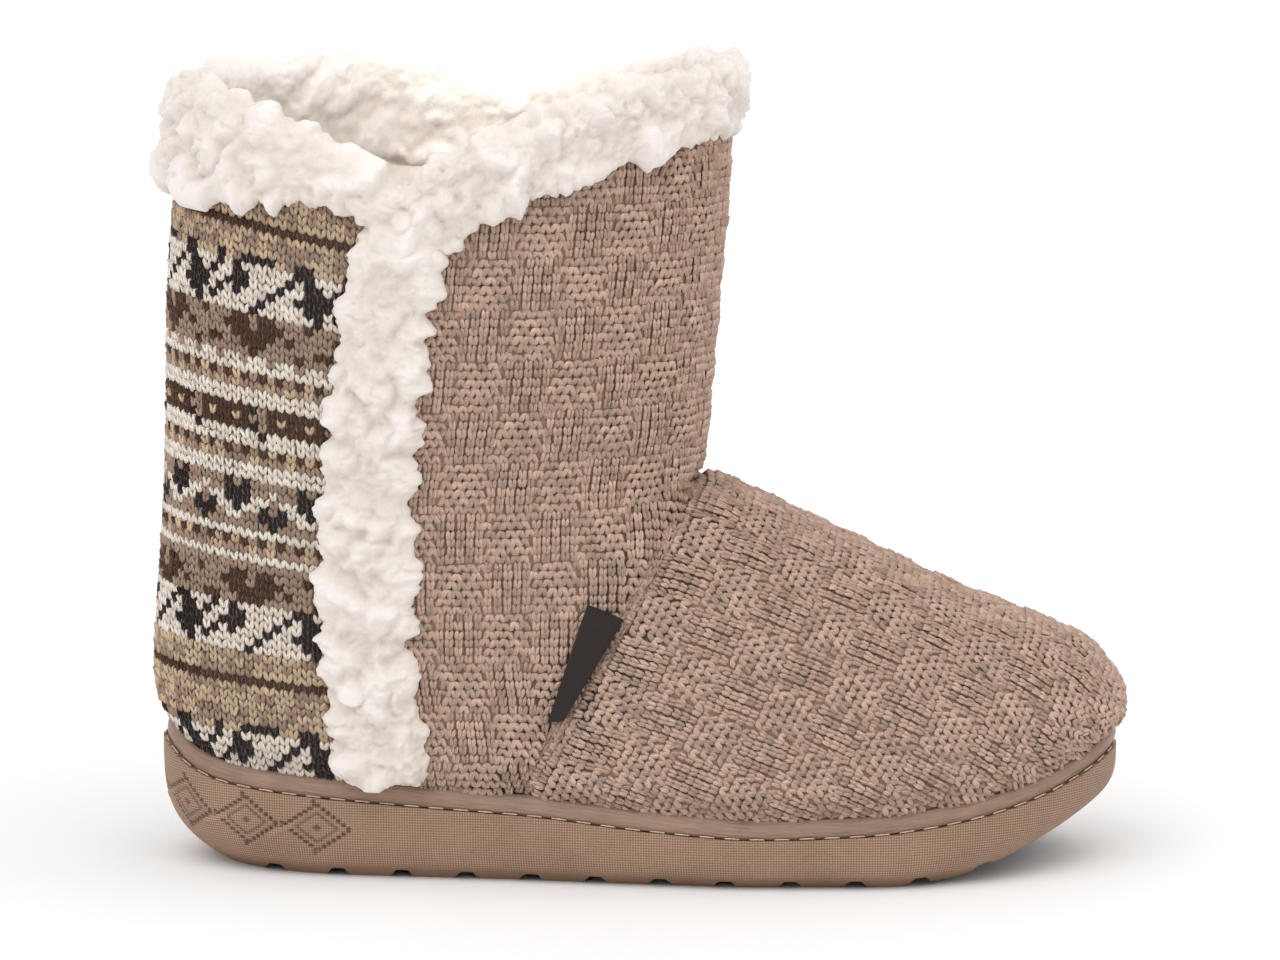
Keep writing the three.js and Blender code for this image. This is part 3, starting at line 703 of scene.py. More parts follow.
def turn(count):
    """Angles once round the shoe."""
    return -np.linspace(0, 2 * np.pi, count, endpoint=False)


def wall_rows(low, high, below, above):
    """Heights from low up to the throat, and on up to high."""
    foot = low + (THROAT_HEIGHT - low) * np.linspace(0, 1, below, endpoint=False)[:, None]
    shaft = THROAT_HEIGHT + (high - THROAT_HEIGHT) * np.linspace(0, 1, above)[:, None]
    return np.concatenate([foot, shaft])


def knit_ground():
    angles = turn(160)
    heights = wall_rows(shelf_at(angles) + FIT_GAP, at_collar(edge_curves, angles) - CUFF_COVER, 26, 26)
    station = upper_base(angles, heights)[..., 0]
    lift = GROUND_RISE + seam_lift(station, heights, WALL, 3 * SEAM_WIDTH)
    outer = upper_point(angles, heights, np.maximum(lift, LEAST_WALL - WALL))
    points = np.concatenate([outer, upper_point(angles, heights, -WALL)[::-1]])
    piece = add_mesh("knit_ground", points, grid_faces(len(points), len(angles), ring=True), YARN)
    # Painted shade in the gaps, darker behind the back panel.
    back = station < trim_station(heights)
    back = np.concatenate([back, back[::-1]])[..., None]
    paint(piece, "yarn", np.where(back, GAP_SHADE_BACK, GAP_SHADE_TAUPE), "FLOAT_COLOR")
    return piece


declare(knit_ground(), "knit", "upper")

# %% [markdown]
# ## Geometry Nodes: one tree for what repeats
# Knit is thousands of like loops. In Blender a tree of Geometry Nodes can set one small mesh on every
# point of another mesh, turned by directions that the points carry. A short class builds such a tree with
# named inputs, runs it once and hands back a plain mesh, so that nothing live is left on the finished
# piece.

# %% A small tree builder
class Tree:
    def __init__(self, name, inputs):
        self.group = bpy.data.node_groups.new(name, "GeometryNodeTree")
        sockets = self.group.interface
        sockets.new_socket("Geometry", in_out="INPUT", socket_type="NodeSocketGeometry")
        self.keys = {}
        for label, kind in inputs.items():
            socket = sockets.new_socket(label, in_out="INPUT", socket_type=f"NodeSocket{kind}")
            self.keys[label] = socket.identifier
        sockets.new_socket("Geometry", in_out="OUTPUT", socket_type="NodeSocketGeometry")
        self.inputs = self.add("NodeGroupInput").outputs

    def add(self, kind, inputs=None, **settings):
        return add_node(self.group, kind, inputs, settings)

    def named(self, name, kind="FLOAT_VECTOR"):
        node = self.add("GeometryNodeInputNamedAttribute", {"Name": name}, data_type=kind)
        return node.outputs["Attribute"]

    def turned(self, first, second, **axes):
        """The rotation that turns one axis of a shape to first, and another as near as may be to second."""
        ways = {"Primary Axis": first, "Secondary Axis": second}
        return self.add("FunctionNodeAxesToRotation", ways, **axes).outputs["Rotation"]

    def instances(self, points, shape, **inputs):
        geometry = self.add("GeometryNodeObjectInfo", {"Object": self.inputs[shape]}).outputs["Geometry"]
        spots = {"Points": points, "Instance": geometry, **inputs}
        return self.add("GeometryNodeInstanceOnPoints", spots).outputs["Instances"]

    def close(self, parts, material):
        """Joins the parts and ends the tree in plain geometry with its material."""
        join = self.add("GeometryNodeJoinGeometry")
        for part in parts:
            self.group.links.new(part, join.inputs["Geometry"])
        real = self.add("GeometryNodeRealizeInstances", {"Geometry": join.outputs["Geometry"]})
        plain = {"Geometry": real.outputs["Geometry"], "Material": self.inputs[material]}
        done = self.add("GeometryNodeSetMaterial", plain)
        self.add("NodeGroupOutput", {"Geometry": done.outputs["Geometry"]})

    def run(self, name, base, values, keep=()):
        """Runs the tree on a base mesh, and returns the result as a new plain piece."""
        modifier = base.modifiers.new("tree", "NODES")
        modifier.node_group = self.group
        for label, value in values.items():
            modifier[self.keys[label]] = value
        graph = bpy.context.evaluated_depsgraph_get()
        shape = base.evaluated_get(graph)
        mesh = bpy.data.meshes.new_from_object(shape, preserve_all_data_layers=True, depsgraph=graph)
        base.modifiers.remove(modifier)
        bpy.data.objects.remove(base)
        mesh.name = name
        extra = [layer.name for layer in mesh.attributes if not layer.is_internal and not layer.is_required]
        for label in sorted(set(extra) - {"material_index", "sharp_face", *keep}):
            mesh.attributes.remove(mesh.attributes[label])
        return put(name, mesh)


# %% Small shapes for the trees
PLY_TURNS = 1.4


def template(name, points, faces, ply):
    """A small mesh that a tree repeats; it isn't part of the scene itself."""
    mesh = bpy.data.meshes.new(name)
    mesh.from_pydata(np.asarray(points).tolist(), [], faces)
    mesh.shade_smooth()
    shape = bpy.data.objects.new(name, mesh)
    paint(shape, "ply", ply)
    return shape


def spindle(centres, width, depths, sides):
    """A plump strand along a path: a ring at each inner centre, a tip at both ends, and its plies."""
    centres = np.asarray(centres, float)
    points, faces = [centres[0]], []
    round_it = np.arange(sides) / sides
    spokes = 2 * np.pi * round_it + np.pi / 2
    rings = len(centres) - 2
    for i in range(1, rings + 1):
        along = unit(centres[i + 1] - centres[i - 1])
        across = unit(np.cross(along, [0, 0, 1]))
        up = np.cross(across, along)
        ring = np.outer(np.cos(spokes) * width, across) + np.outer(np.sin(spokes) * depths[i - 1], up)
        points.extend(centres[i] + ring)
    points.append(centres[-1])
    for k in range(sides):
        after = (k + 1) % sides
        faces.append((0, 1 + after, 1 + k))
        for r in range(rings - 1):
            low, high = 1 + r * sides, 1 + (r + 1) * sides
            faces.append((low + k, low + after, high + after, high + k))
        low = 1 + (rings - 1) * sides
        faces.append((low + k, low + after, len(points) - 1))
    wind = PLY_TURNS * np.arange(rings + 2) / (rings + 1)
    ply = np.concatenate([[1], np.tile(2 * round_it, rings), [1]])
    ply += np.repeat(wind, [1] + [sides] * rings + [1])
    return np.array(points), faces, ply


# %% [markdown]
# ## Stitches
# A knit stitch shows as two plump legs, close together in ribbed fabric and spread to a V in open fabric.
# A purl stitch shows as two short legs that lean together. Each is made once, about one unit wide and
# tall, and the tree sets it on points that carry four things: the way out of the fabric, the way up the
# column of stitches, the stitch's size and its yarn. No two hand-guided stitches are alike, so each is
# drawn a little uneven.

# %% Stitch shapes
KNIT_LEG = ((0.0, -0.86, -0.25), (0.4, -0.28, 0.3), (0.8, 0.3, 0.36), (1.0, 0.88, -0.2))
PURL_LEG = ((0.66, -0.76, -0.2), (0.42, -0.38, 0.28), (0.14, 0.24, 0.38), (-0.08, 0.6, -0.15))


def stitch_shape(name, leg, width, depths):
    """A leg of yarn and its mirror image, by places across, up and out of the fabric."""
    points, faces, plies = [], [], []
    for way in (-1, 1):
        strand, strand_faces, ply = spindle(np.array(leg) * [way, 1, 1], width, depths, 4)
        start = len(points)
        points.extend(strand)
        faces.extend(tuple(start + i for i in face) for face in strand_faces)
        plies.extend(ply)
    return template(name, points, faces, plies)


def knit_stitch(name, foot, head, width):
    """Two legs that lean apart, from foot to head on either side of the column's middle."""
    leg = [(foot + (head - foot) * share, up, out) for share, up, out in KNIT_LEG]
    return stitch_shape(name, leg, width, (0.42, 0.42))


PURL = stitch_shape("purl_stitch", PURL_LEG, 0.33, (0.4, 0.42))
RIBBED = {"Knit stitch": knit_stitch("rib_stitch", 0.1, 0.27, 0.24), "Purl stitch": PURL, "Yarn": YARN}
OPEN = {**RIBBED, "Knit stitch": knit_stitch("open_stitch", 0.02, 0.41, 0.26)}


# %% Stitch tree and panels
def stitch_tree():
    tree = Tree("stitches", {"Knit stitch": "Object", "Purl stitch": "Object", "Yarn": "Material"})
    rotation = tree.turned(tree.named("outward"), tree.named("wale"), primary_axis="Z", secondary_axis="Y")
    purl = tree.named("purl", "BOOLEAN")
    plain = tree.add("FunctionNodeBooleanMath", {0: purl}, operation="NOT").outputs["Boolean"]
    parts = []
    for label, chosen in (("Knit stitch", plain), ("Purl stitch", purl)):
        inputs = {"Selection": chosen, "Rotation": rotation, "Scale": tree.named("size")}
        parts.append(tree.instances(tree.inputs["Geometry"], label, **inputs))
    tree.close(parts, "Yarn")
    return tree


STITCHES = stitch_tree()
UNEVEN = {"place": 0.1, "outward": 0.1, "wale": 0.09, "size": 0.08}
TONE_LIMIT = 1.8
draws = np.random.default_rng(11)


def knit_panel(name, angle, height, lift, wale, size, colour, spread, purl=False, shapes=RIBBED):
    """Sets one stitch on every point of a panel, each a little lighter or darker than its yarn."""
    tone = 1 + spread * draws.standard_normal(len(angle)).clip(-TONE_LIMIT, TONE_LIMIT)[:, None]
    uneven = {key: share * draws.standard_normal((len(angle), 3)) for key, share in UNEVEN.items()}
    base = add_mesh(name + "_points", upper_point(angle, height, lift) + uneven["place"], [])
    paint(base, "outward", upper_normal(angle, height) + uneven["outward"], "FLOAT_VECTOR")
    paint(base, "wale", np.array(wale) + uneven["wale"], "FLOAT_VECTOR")
    paint(base, "size", np.array(size) * MM * (1 + uneven["size"]), "FLOAT_VECTOR")
    paint(base, "yarn", np.clip(colour * tone ** [1, 1, 1, 0], 0, 1), "FLOAT_COLOR")
    paint(base, "purl", np.broadcast_to(purl, len(angle)), "BOOLEAN")
    declare(STITCHES.run(name, base, shapes, keep=("yarn", "ply")), "knit")


# %% [markdown]
# ## Basketweave of shaft and vamp
# The front of the shaft and the vamp are one taupe yarn in a basketweave: blocks of knit stitches take
# turns with blocks of purl stitches. On the shaft the columns run up the leg, parallel to its front edge.
# On the vamp the fabric is turned, so that its columns run down the foot to the toe.

# %% Yarn and blocks of the basketweave
TAUPE, TAUPE_SPREAD = np.array(srgb(207, 178, 160)), 0.13
STITCH_WIDTH, STITCH_HEIGHT, STITCH_DEPTH = 2.58, 2.3, 1.65
STITCH_SIZE = np.array([STITCH_WIDTH, STITCH_HEIGHT, STITCH_DEPTH])
BLOCK_STITCHES, BLOCK_ROWS = 5, 6
BLOCK_RELIEF, BLOCK_SWELL, PURL_BACK, PURL_SHIFT = 0.6, 1.3, 0.2, 0.25


def is_purl(stitch, row):
    return (np.floor_divide(stitch, BLOCK_STITCHES) + np.floor_divide(row, BLOCK_ROWS)) % 2 == 0


def purl_shift(stitch, row):
    """Rows of purl stitches lie brickwise, shifted one way and the other in turn."""
    return PURL_SHIFT * STITCH_WIDTH * (-1) ** row * is_purl(stitch, row)


def basket_lift(stitch, row):
    """Each block swells a little in its middle; the purl blocks stand back."""
    across = np.sin(np.pi * ((stitch % BLOCK_STITCHES) + 0.5) / BLOCK_STITCHES)
    along = np.sin(np.pi * ((row % BLOCK_ROWS) + 0.5) / BLOCK_ROWS)
    return BLOCK_RELIEF * (across * along * BLOCK_SWELL - PURL_BACK * is_purl(stitch, row))


def basketweave(name, spots, wale):
    """A panel from rows of angle, height, number of the stitch and number of its row."""
    angle, height, stitch, row = np.concatenate(spots).T
    lift = seam_lift(upper_base(angle, height)[:, 0], height) + basket_lift(stitch, row)
    knit_panel(name, angle, height, lift, wale, STITCH_SIZE, TAUPE, TAUPE_SPREAD, is_purl(stitch, row))


# %% Shaft front
SHAFT_FOOT, SHAFT_TOP, SHAFT_LEAN = 21.0, 214, 0.08
SHAFT_STITCHES = np.arange(-30, 60)
HEM_COVER, WELT_CLEAR, SEAM_LAP = 6, 1.5, 1.6


def contour(height, side, count=240):
    """Angles from the front to the back at one height, and the distance walked along the contour."""
    angles = side * np.linspace(np.pi, 0.002, count)
    points = upper_base(angles, height)
    return angles, points[:, 0], walk(points)


def trim_distance(height, side):
    """How far round from the front centre the trim line, or the plain seam on the inner side, lies."""
    _, station, walked = contour(height, side)
    return np.interp(-trim_station(height), -station, walked)


def shaft_front_panel(name, side, lap):
    """The front of one side; lap is how far it goes past the trim line."""
    spots = []
    throat_reach = trim_distance(THROAT_HEIGHT, side)
    for row, height in enumerate(np.arange(SHAFT_FOOT, SHAFT_TOP, STITCH_HEIGHT)):
        angles, station, walked = contour(height, side)
        reach = trim_distance(height, side)
        slip = 0 if height >= THROAT_HEIGHT else reach - throat_reach
        away = (SHAFT_STITCHES + 0.5) * STITCH_WIDTH + slip + purl_shift(SHAFT_STITCHES, row)
        angle, at = np.interp(away, walked, angles), np.interp(away, walked, station)
        keep = (away > 0) & (away < reach + lap)
        keep &= height < at_collar(hem_curves, angle) + HEM_COVER
        keep &= height > shelf_at(angle) + WELT_CLEAR
        keep &= (height >= THROAT_HEIGHT) | (at < seam_station(height) + SEAM_LAP)
        spots.append(np.stack(np.broadcast_arrays(angle, height, SHAFT_STITCHES, row), 1)[keep])
    basketweave(name, spots, [SHAFT_LEAN, 0, 1])


shaft_front_panel("shaft_front_outer", -1, -1.2)
shaft_front_panel("shaft_front_inner", 1, 0.3)

# %% Vamp
VAMP_PITCH = math.radians(28)
LEVEL, FALL = math.cos(VAMP_PITCH), math.sin(VAMP_PITCH)
VAMP_REACH, VAMP_FROM, VAMP_TO, BESIDE_RIDGE = 130, -30, 226, 18
VAMP_STITCHES = np.arange(0, 48)
VAMP_LOW, VAMP_HIGH, VAMP_SEAM_GAP = 12, THROAT_HEIGHT + 3, 0.4
RIDGE_HEIGHTS = np.linspace(RIDGE["height"][0], THROAT_HEIGHT + 6, 400)
RIDGE_ALONG = ridge_station(RIDGE_HEIGHTS) * LEVEL - RIDGE_HEIGHTS * FALL


def foot_angle(side, station, height):
    back, front = shaft_back(height), ridge_station(height)
    return side * np.arccos(np.clip(1 - 2 * (station - back) / (front - back), -1, 1))


def vamp_section(along, side):
    """One row of the vamp: places from the ridge down to the welt, and the way walked from there."""
    rise = (np.interp(-along, -RIDGE_ALONG, RIDGE_HEIGHTS) + along * FALL) / LEVEL
    across = rise - np.linspace(0, 1, 260) ** 2 * VAMP_REACH
    station, height = along * LEVEL + across * FALL, across * LEVEL - along * FALL
    half = side * upper_half(side, station, height)
    half[0] = 0
    return station, height, walk(np.stack([station, half, height], 1))


def vamp_rows():
    """Rows of stitches set apart evenly along the foot's top, a little to the side of the ridge."""
    alongs = np.linspace(SEAM_TOP[0] * LEVEL - THROAT_HEIGHT * FALL + VAMP_FROM, VAMP_TO, 700)
    path = []
    for along in alongs:
        station, height, walked = vamp_section(along, -1)
        at, up = np.interp(BESIDE_RIDGE, walked, station), np.interp(BESIDE_RIDGE, walked, height)
        path.append((at, -upper_half(-1, at, up), up))
    walked = walk(np.array(path))
    return np.interp(np.arange(0, walked[-1], STITCH_HEIGHT), walked, alongs)


def vamp_panel():
    spots = []
    for row, along in enumerate(vamp_rows()):
        for side in (-1, 1):
            station, height, walked = vamp_section(along, side)
            number = VAMP_STITCHES if side > 0 else -1 - VAMP_STITCHES
            away = (VAMP_STITCHES + 0.5) * STITCH_WIDTH + side * purl_shift(number, row)
            at, up = np.interp(away, walked, station), np.interp(away, walked, height)
            keep = (at > seam_station(up) + VAMP_SEAM_GAP) & (up > VAMP_LOW) & (up < VAMP_HIGH)
            keep &= up > shelf_height(np.clip(at, 0, SOLE_LENGTH)) + WELT_CLEAR
            spots.append(np.stack(np.broadcast_arrays(foot_angle(side, at, up), up, number, row), 1)[keep])
    basketweave("vamp", spots, [-LEVEL, 0, FALL])


vamp_panel()

# %% Stitches drawn together along the vamp seam
SEAM_PITCH, SEAM_ASIDE, SEAM_STAGGER, SEAM_SCALE = 1.9, 1.3, 0.3, 0.95


def vamp_seam():
    along = np.arange(SEAM_FOOT[1] + 2, SEAM_TOP[1] + 1, SEAM_PITCH)
    spots = []
    for side in (-1, 1):
        for aside in (-SEAM_ASIDE, SEAM_ASIDE):
            height = along + aside * SEAM_STAGGER
            station = np.minimum(seam_station(height) + aside, ridge_station(height) - 0.5)
            keep = height > shelf_height(station) + WELT_CLEAR
            spots.append(np.stack([foot_angle(side, station, height), height], 1)[keep])
    angle, height = np.concatenate(spots).T
    lift = seam_lift(upper_base(angle, height)[:, 0], height)
    wale = unit(np.array([SEAM_RUN, 0, SEAM_RISE]))
    knit_panel("vamp_seam", angle, height, lift, wale, STITCH_SIZE * SEAM_SCALE, TAUPE, TAUPE_SPREAD)


vamp_seam()

# %% [markdown]
# ## Patterned back panel
# The back panel is stranded colour knitting: stripes, dots, flowers and stepped stars in five yarns,
# worked from a chart. Each line of the chart is one row, read from the collar down, and repeats round the
# heel; m is a marled yarn, of two colours in turn by chance. The rows tilt, so that they run down towards
# the front.

# %% Chart of the back panel
YARNS = {
    "w": srgb(248, 238, 226),
    "c": srgb(216, 192, 162),
    "t": srgb(176, 150, 130),
    "b": srgb(88, 57, 38),
    "k": srgb(47, 34, 31),
}
MARL, PLAIN, DARK, ZIGZAG, DOTTED = ["m"], ["w"], ["b"], ["wwt"], ["bm", "tm"]
STAR = ["mkmmmkkmmkkkkm", "wkwwwkkwwwwwwk", "wwkwkkwkwwwwkk", "kwwkkkwwkwwwkk", "wkwkkkkwwkwwwk",
        "wwkwkkwwwwkwww", "wwwwkwwwwwwkww"]
FLOWER = ["tbtttbbtbbtt", "ttttbbbtbbbt", "tttbtbbbbbtt", "btttttbbbttb", "ttbttttbtttt"]
BLOCKS = ["bbbbbbtk", "bcbbcbtt", "bbbbbbtk", "wwwwwwkw"]
HEARTS = ["ktkttttt", "kkkttwtt", "kkkwwtww", "wkwwktkw", "twwtkkkt", "tttttktt"]
CHART = (MARL * 4 + DARK + MARL * 3 + STAR + FLOWER + ZIGZAG + PLAIN + DOTTED + PLAIN * 2 + BLOCKS + PLAIN
         + DOTTED + PLAIN * 2 + HEARTS + PLAIN + DOTTED + PLAIN + ["t"] + FLOWER[:4] + STAR[1:] + MARL * 3
         + DARK + MARL * 5 + STAR)
print("chart:", len(CHART), "rows")

# %% Back panel
BACK_WIDTH, BACK_HEIGHT, BACK_LEAN, BACK_SPREAD = 2.75, 2.3, 0.03, 0.07
CHART_TOP, ROWS_UNDER_CUFF, STITCHES_A_SIDE = 193.2, 4, 36
TILT_LOW, TILT_HIGH = 0.07, 0.2
BACK_LAP = {-1: -1, 1: 0.6}


def back_place(row, stitch, side):
    """Angle, height and station of a stitch: its row tilts, so its height is found in three rounds."""
    tilt = TILT_HIGH + (TILT_LOW - TILT_HIGH) * row / len(CHART)
    level = CHART_TOP - row * BACK_HEIGHT
    height = level
    for _ in range(3):
        clamped = min(max(height, 18), SHAFT_TOP)
        angles, station, walked = contour(clamped, side, 90)
        away = walked[-1] - (stitch + 0.5) * BACK_WIDTH
        at = np.interp(away, walked, station)
        height = level - tilt * (at - shaft_back(clamped))
    return np.interp(away, walked, angles), height, at


def back_yarn(letter):
    return YARNS[draws.choice(["c", "t", "c", "t", "c"]) if letter == "m" else letter]


def back_panel():
    places, letters = [], []
    for row in range(-ROWS_UNDER_CUFF, len(CHART)):
        line = CHART[max(row, 0)]
        for side in (-1, 1):
            for stitch in range(STITCHES_A_SIDE):
                angle, height, station = back_place(row, stitch, side)
                if station > trim_station(height) + BACK_LAP[side]:
                    break
                places.append((angle, height))
                letters.append(line[(stitch if side > 0 else -1 - stitch) % len(line)])
    angle, height = np.array(places).T
    yarn = np.array([back_yarn(letter) for letter in letters])
    keep = (height > shelf_at(angle) + WELT_CLEAR) & (height < at_collar(hem_curves, angle) + HEM_COVER)
    size = [BACK_WIDTH, BACK_HEIGHT, STITCH_DEPTH]
    knit_panel("back_panel", angle[keep], height[keep], 0.0, [BACK_LEAN, 0, 1], size, yarn[keep],
               BACK_SPREAD, shapes=OPEN)


back_panel()

# %% [markdown]
# ## Sherpa
# Sherpa is a deep pile that clumps into soft puffs. Thousands of curls set on it one by one would look
# like grain, so the pile is a bed instead: noise of four sizes lifts each point of a fine grid into
# rounded puffs with creases between them, which also break up its edges. Deep places are painted warmer
# and darker than the tips: painted shade in the creases.

# %% Lumpy beds
PUFFS = ((13, 0.6), (6.5, 0.36), (3, 0.13), (1.6, 0.05))
PUFF_WARP, WARP_SCALE, PUFF_GAIN, PUFF_SEED = 0.4, 1.5, 2.6, 3
CREASE = 0.14
noise.seed_set(PUFF_SEED)


def fleece(points):
    """How high the pile stands at each point: rounded puffs with soft creases between them."""
    height = np.zeros(points.size // 3)
    for size, share in PUFFS:
        spots = [Vector(p) for p in (points.reshape(-1, 3) / size).tolist()]
        wave = np.array([noise.noise(p + PUFF_WARP * noise.noise_vector(p * WARP_SCALE)) for p in spots])
        height += share * (np.hypot(wave, CREASE) - CREASE)
    return np.clip(PUFF_GAIN * height, 0, 1).reshape(points.shape[:-1])


def grid_normals(points, ring):
    """Outward directions of closed rows of points; ring says that the last row meets the first."""
    around = np.roll(points, -1, 1) - np.roll(points, 1, 1)
    up = np.roll(points, -1, 0) - np.roll(points, 1, 0) if ring else np.gradient(points, axis=0)
    return unit(np.cross(around, up))


def pile_bed(name, points, depth, ends=()):
    """A lumpy bed over closed rows: depth says how much it may rise."""
    height = fleece(points)
    lifted = points + grid_normals(points, not ends) * (depth * height)[..., None]
    faces = grid_faces(*points.shape[:2], ring=not ends).tolist()
    piece = add_mesh(name, lifted, faces + list(ends), SHERPA)
    # The pile's height is painted as well, for the painted shade in its creases.
    paint(piece, "pile", height)
    return piece


# %% Collar cuff
CUFF_PROFILE = {
    "way": [0, 0.06, 0.2, 0.45, 0.58, 0.66, 0.74, 0.86, 0.96, 1],
    "grow": [0.4, 2.6, 3.2, 3.2, 1.8, -1.5, -4.8, -6.2, -6.0, -3.4],
    "from_hem": [0, 0.02, 0.35, 1, 1, 1, 1, 1, 1, 1],
    "from_edge": [0, 0, 0, 0, 3.2, 4.8, 3.2, -3, -14, -18],
}
CUFF_ROUND, CUFF_ROWS = 820, 116
CUFF_DEPTH, CUFF_INSIDE_DEPTH = 5.4, 1.7
CREST_DROP, NEAR_MIDDLE, NEAR_CALM = 3.0, 0.24, 0.6
FAR_RISE, FAR_MIDDLE, CREST_REACH = 6.0, 0.35, 0.17
RISE_ENDS, INSIDE_FROM, HEM_FADE = (0.72, 0.26), (0.6, 0.16), 0.03


def fade(ways, start, reach):
    return smoothstep((ways - start) / reach)


def bell(share, middle, reach, power=2):
    return np.exp(-((share - middle) / reach) ** power)


def cuff():
    """Sherpa from the hem over the edge and down inside; the near crest lies lower, the far one higher."""
    angles, ways = turn(CUFF_ROUND), np.linspace(0, 1, CUFF_ROWS)[:, None]
    hem, edge = at_collar(hem_curves, angles), at_collar(edge_curves, angles)
    grow, share, rise = (column(CUFF_PROFILE, key)(ways) for key in ("grow", "from_hem", "from_edge"))
    near = bell(share_at(angles), NEAR_MIDDLE, CREST_REACH, 4) * (np.sin(angles) < 0)
    far = bell(share_at(angles), FAR_MIDDLE, CREST_REACH, 4) * (np.sin(angles) > 0)
    shift = FAR_RISE * far * (1 - fade(ways, *RISE_ENDS)) - CREST_DROP * near
    points = upper_point(angles, hem + (edge + shift - hem) * share + rise, grow)
    calm = np.maximum(fade(ways, *INSIDE_FROM), NEAR_CALM * near * share)
    depth = CUFF_DEPTH + (CUFF_INSIDE_DEPTH - CUFF_DEPTH) * calm
    return pile_bed("cuff_pile", points, depth * smoothstep(ways / HEM_FADE))


declare(cuff(), "sherpa", "collar_cuff")

# %% Side trim
TRIM_HALF_WIDTH, TRIM_PILE, TRIM_DEPTH = 11.5 * 0.88, 6, 5.4
TRIM_ROUND, TRIM_ROWS = np.linspace(-1, 1, 64), 420
TRIM_LIFT, TRIM_UNDER_CUFF = 0.5, 16
TRIM_THIN, TRIM_FOOT_FADE, TRIM_TAPER_FADE = (0.86, 0.14), 0.025, 0.03
BACK_ACROSS, BACK_PILE = [0.7, 0, -0.7], [0.05, 0.05, 0.05]


def side_point(side, station, height, grow):
    """Point over one side of the upper, by station and height."""
    step = 0.5
    slope = upper_half(side, station - step, height) - upper_half(side, station + step, height)
    rise = upper_half(side, station, height - step) - upper_half(side, station, height + step)
    normal = unit(np.stack([slope, side * 2 * step + 0 * slope, rise], axis=-1))
    base = np.stack([station, side * upper_half(side, station, height), height], axis=-1)
    return base + normal * (grow - feather_tuck(angle_of(station), height))[..., None]


def trim():
    """A rounded strip, fuller near its foot with a dent above, that thins out under the cuff."""
    across = np.concatenate([np.sin(TRIM_ROUND * np.pi / 2), BACK_ACROSS])
    pile = np.concatenate([0.1 + 0.5 * np.cos(TRIM_ROUND * np.pi / 2) ** 0.6, BACK_PILE])
    foot, head = rim_height(TRIM_LINE["station"][0]) + TRIM_LIFT, hem_curves[0](0.42) + TRIM_UNDER_CUFF
    share = np.linspace(0, 1, TRIM_ROWS)[:, None]
    height = foot + (head - foot) * share + 0 * across
    swell = 1 + 0.12 * bell(share, 0.1, 0.09) - 0.06 * bell(share, 0.24, 0.03)
    under = (1 - fade(share, *TRIM_THIN)) * (0.3 + 0.7 * smoothstep(share / TRIM_FOOT_FADE))
    taper = 0.9 + 0.1 * smoothstep(share / TRIM_TAPER_FADE)
    station = trim_station(height) + across * TRIM_HALF_WIDTH * swell * taper
    points = side_point(-1, station, height, FIT_GAP + TRIM_PILE * pile * swell * under)
    first, last = list(range(len(across))), (len(share) - 1) * len(across)
    return pile_bed("trim_pile", points, TRIM_DEPTH * under, (first[::-1], [last + i for i in first]))


declare(trim(), "sherpa", "side_trim")

# %% [markdown]
# ## Lining and insole
# The shaft and foot are lined with the same pile, combed flatter, and its top is hidden behind the cuff.
# The bed under the foot is foam covered with pile, a little crowned. It fills the sole from edge to edge,
# so it is lofted from the sole's own outline.

# %% Lining
LINING_PILE, LINING_OUT, LINING_IN = 3.5, 0.3, 1.6
LINING_FOOT, LINING_TOP, LINING_FADE = 6, 9, 12


def lining():
    angles = turn(170)
    high = at_collar(edge_curves, angles) - LINING_TOP
    heights = wall_rows(shelf_at(angles) + LINING_FOOT, high, 23, 24)
    outside = upper_point(angles, heights, -WALL - LINING_OUT)
    points = np.concatenate([outside, upper_point(angles, heights, -WALL - LINING_IN)[::-1]])
    thin = smoothstep((high - heights[::-1]) / LINING_FADE)
    depth = LINING_PILE * np.concatenate([np.zeros(heights.shape), thin])
    depth[-1] = 0
    return pile_bed("lining", points, depth)


declare(lining(), "sherpa")

# %% Insole
BED_GAP, BED_EDGE_GAP, BED_PILE, INSOLE_THICKNESS = 0.7, 0.8, 0.9, 4.5
BED_SIDE = [(0.999, 0), (0.5, 0), (0.03, 0), (0, 0.15), (0, 0.7)]
BED_TOP = [(inward, 0.75 + 0.25 * inward) for inward in np.linspace(0.03, 0.999, 24)]


def insole():
    angles = turn(220)
    edge = upper_point(angles, shelf_at(angles) + BED_GAP, -WALL - BED_EDGE_GAP)
    inward, lift = np.array(BED_SIDE + BED_TOP).T[..., None]
    station, across = edge[:, 0] + 0 * inward, edge[:, 1] * (1 - inward)
    height = shelf_height(station) + BED_GAP + INSOLE_THICKNESS * lift
    points = np.stack([station, across, height], -1)
    depth = np.array([0] * len(BED_SIDE) + [BED_PILE] * len(BED_TOP))[:, None]
    return pile_bed("insole_bed", points, depth, shut(len(points), len(angles)))


insole_bed = insole()
declare(insole_bed, "foam_bed", "insole")

# %% [markdown]
# ## Label and thread
# A folded strip of woven tape is caught in the vamp seam, left bare. Thread runs round the groove between
# welt and sole: a tree walks the stitch line and sets one short stitch at every step.

# %% Label
LABEL_LOW, LABEL_HIGH, LABEL_ROWS = 46, 73, 24
LABEL_WIDTHS, LABEL_LIFT, LABEL_THICKNESS, LABEL_GAP = (3.8, 9.6), 2.2, 1.3, 0.9
LABEL_WAVE, LABEL_RAKE = 0.25, 4
FOLD = 1.04


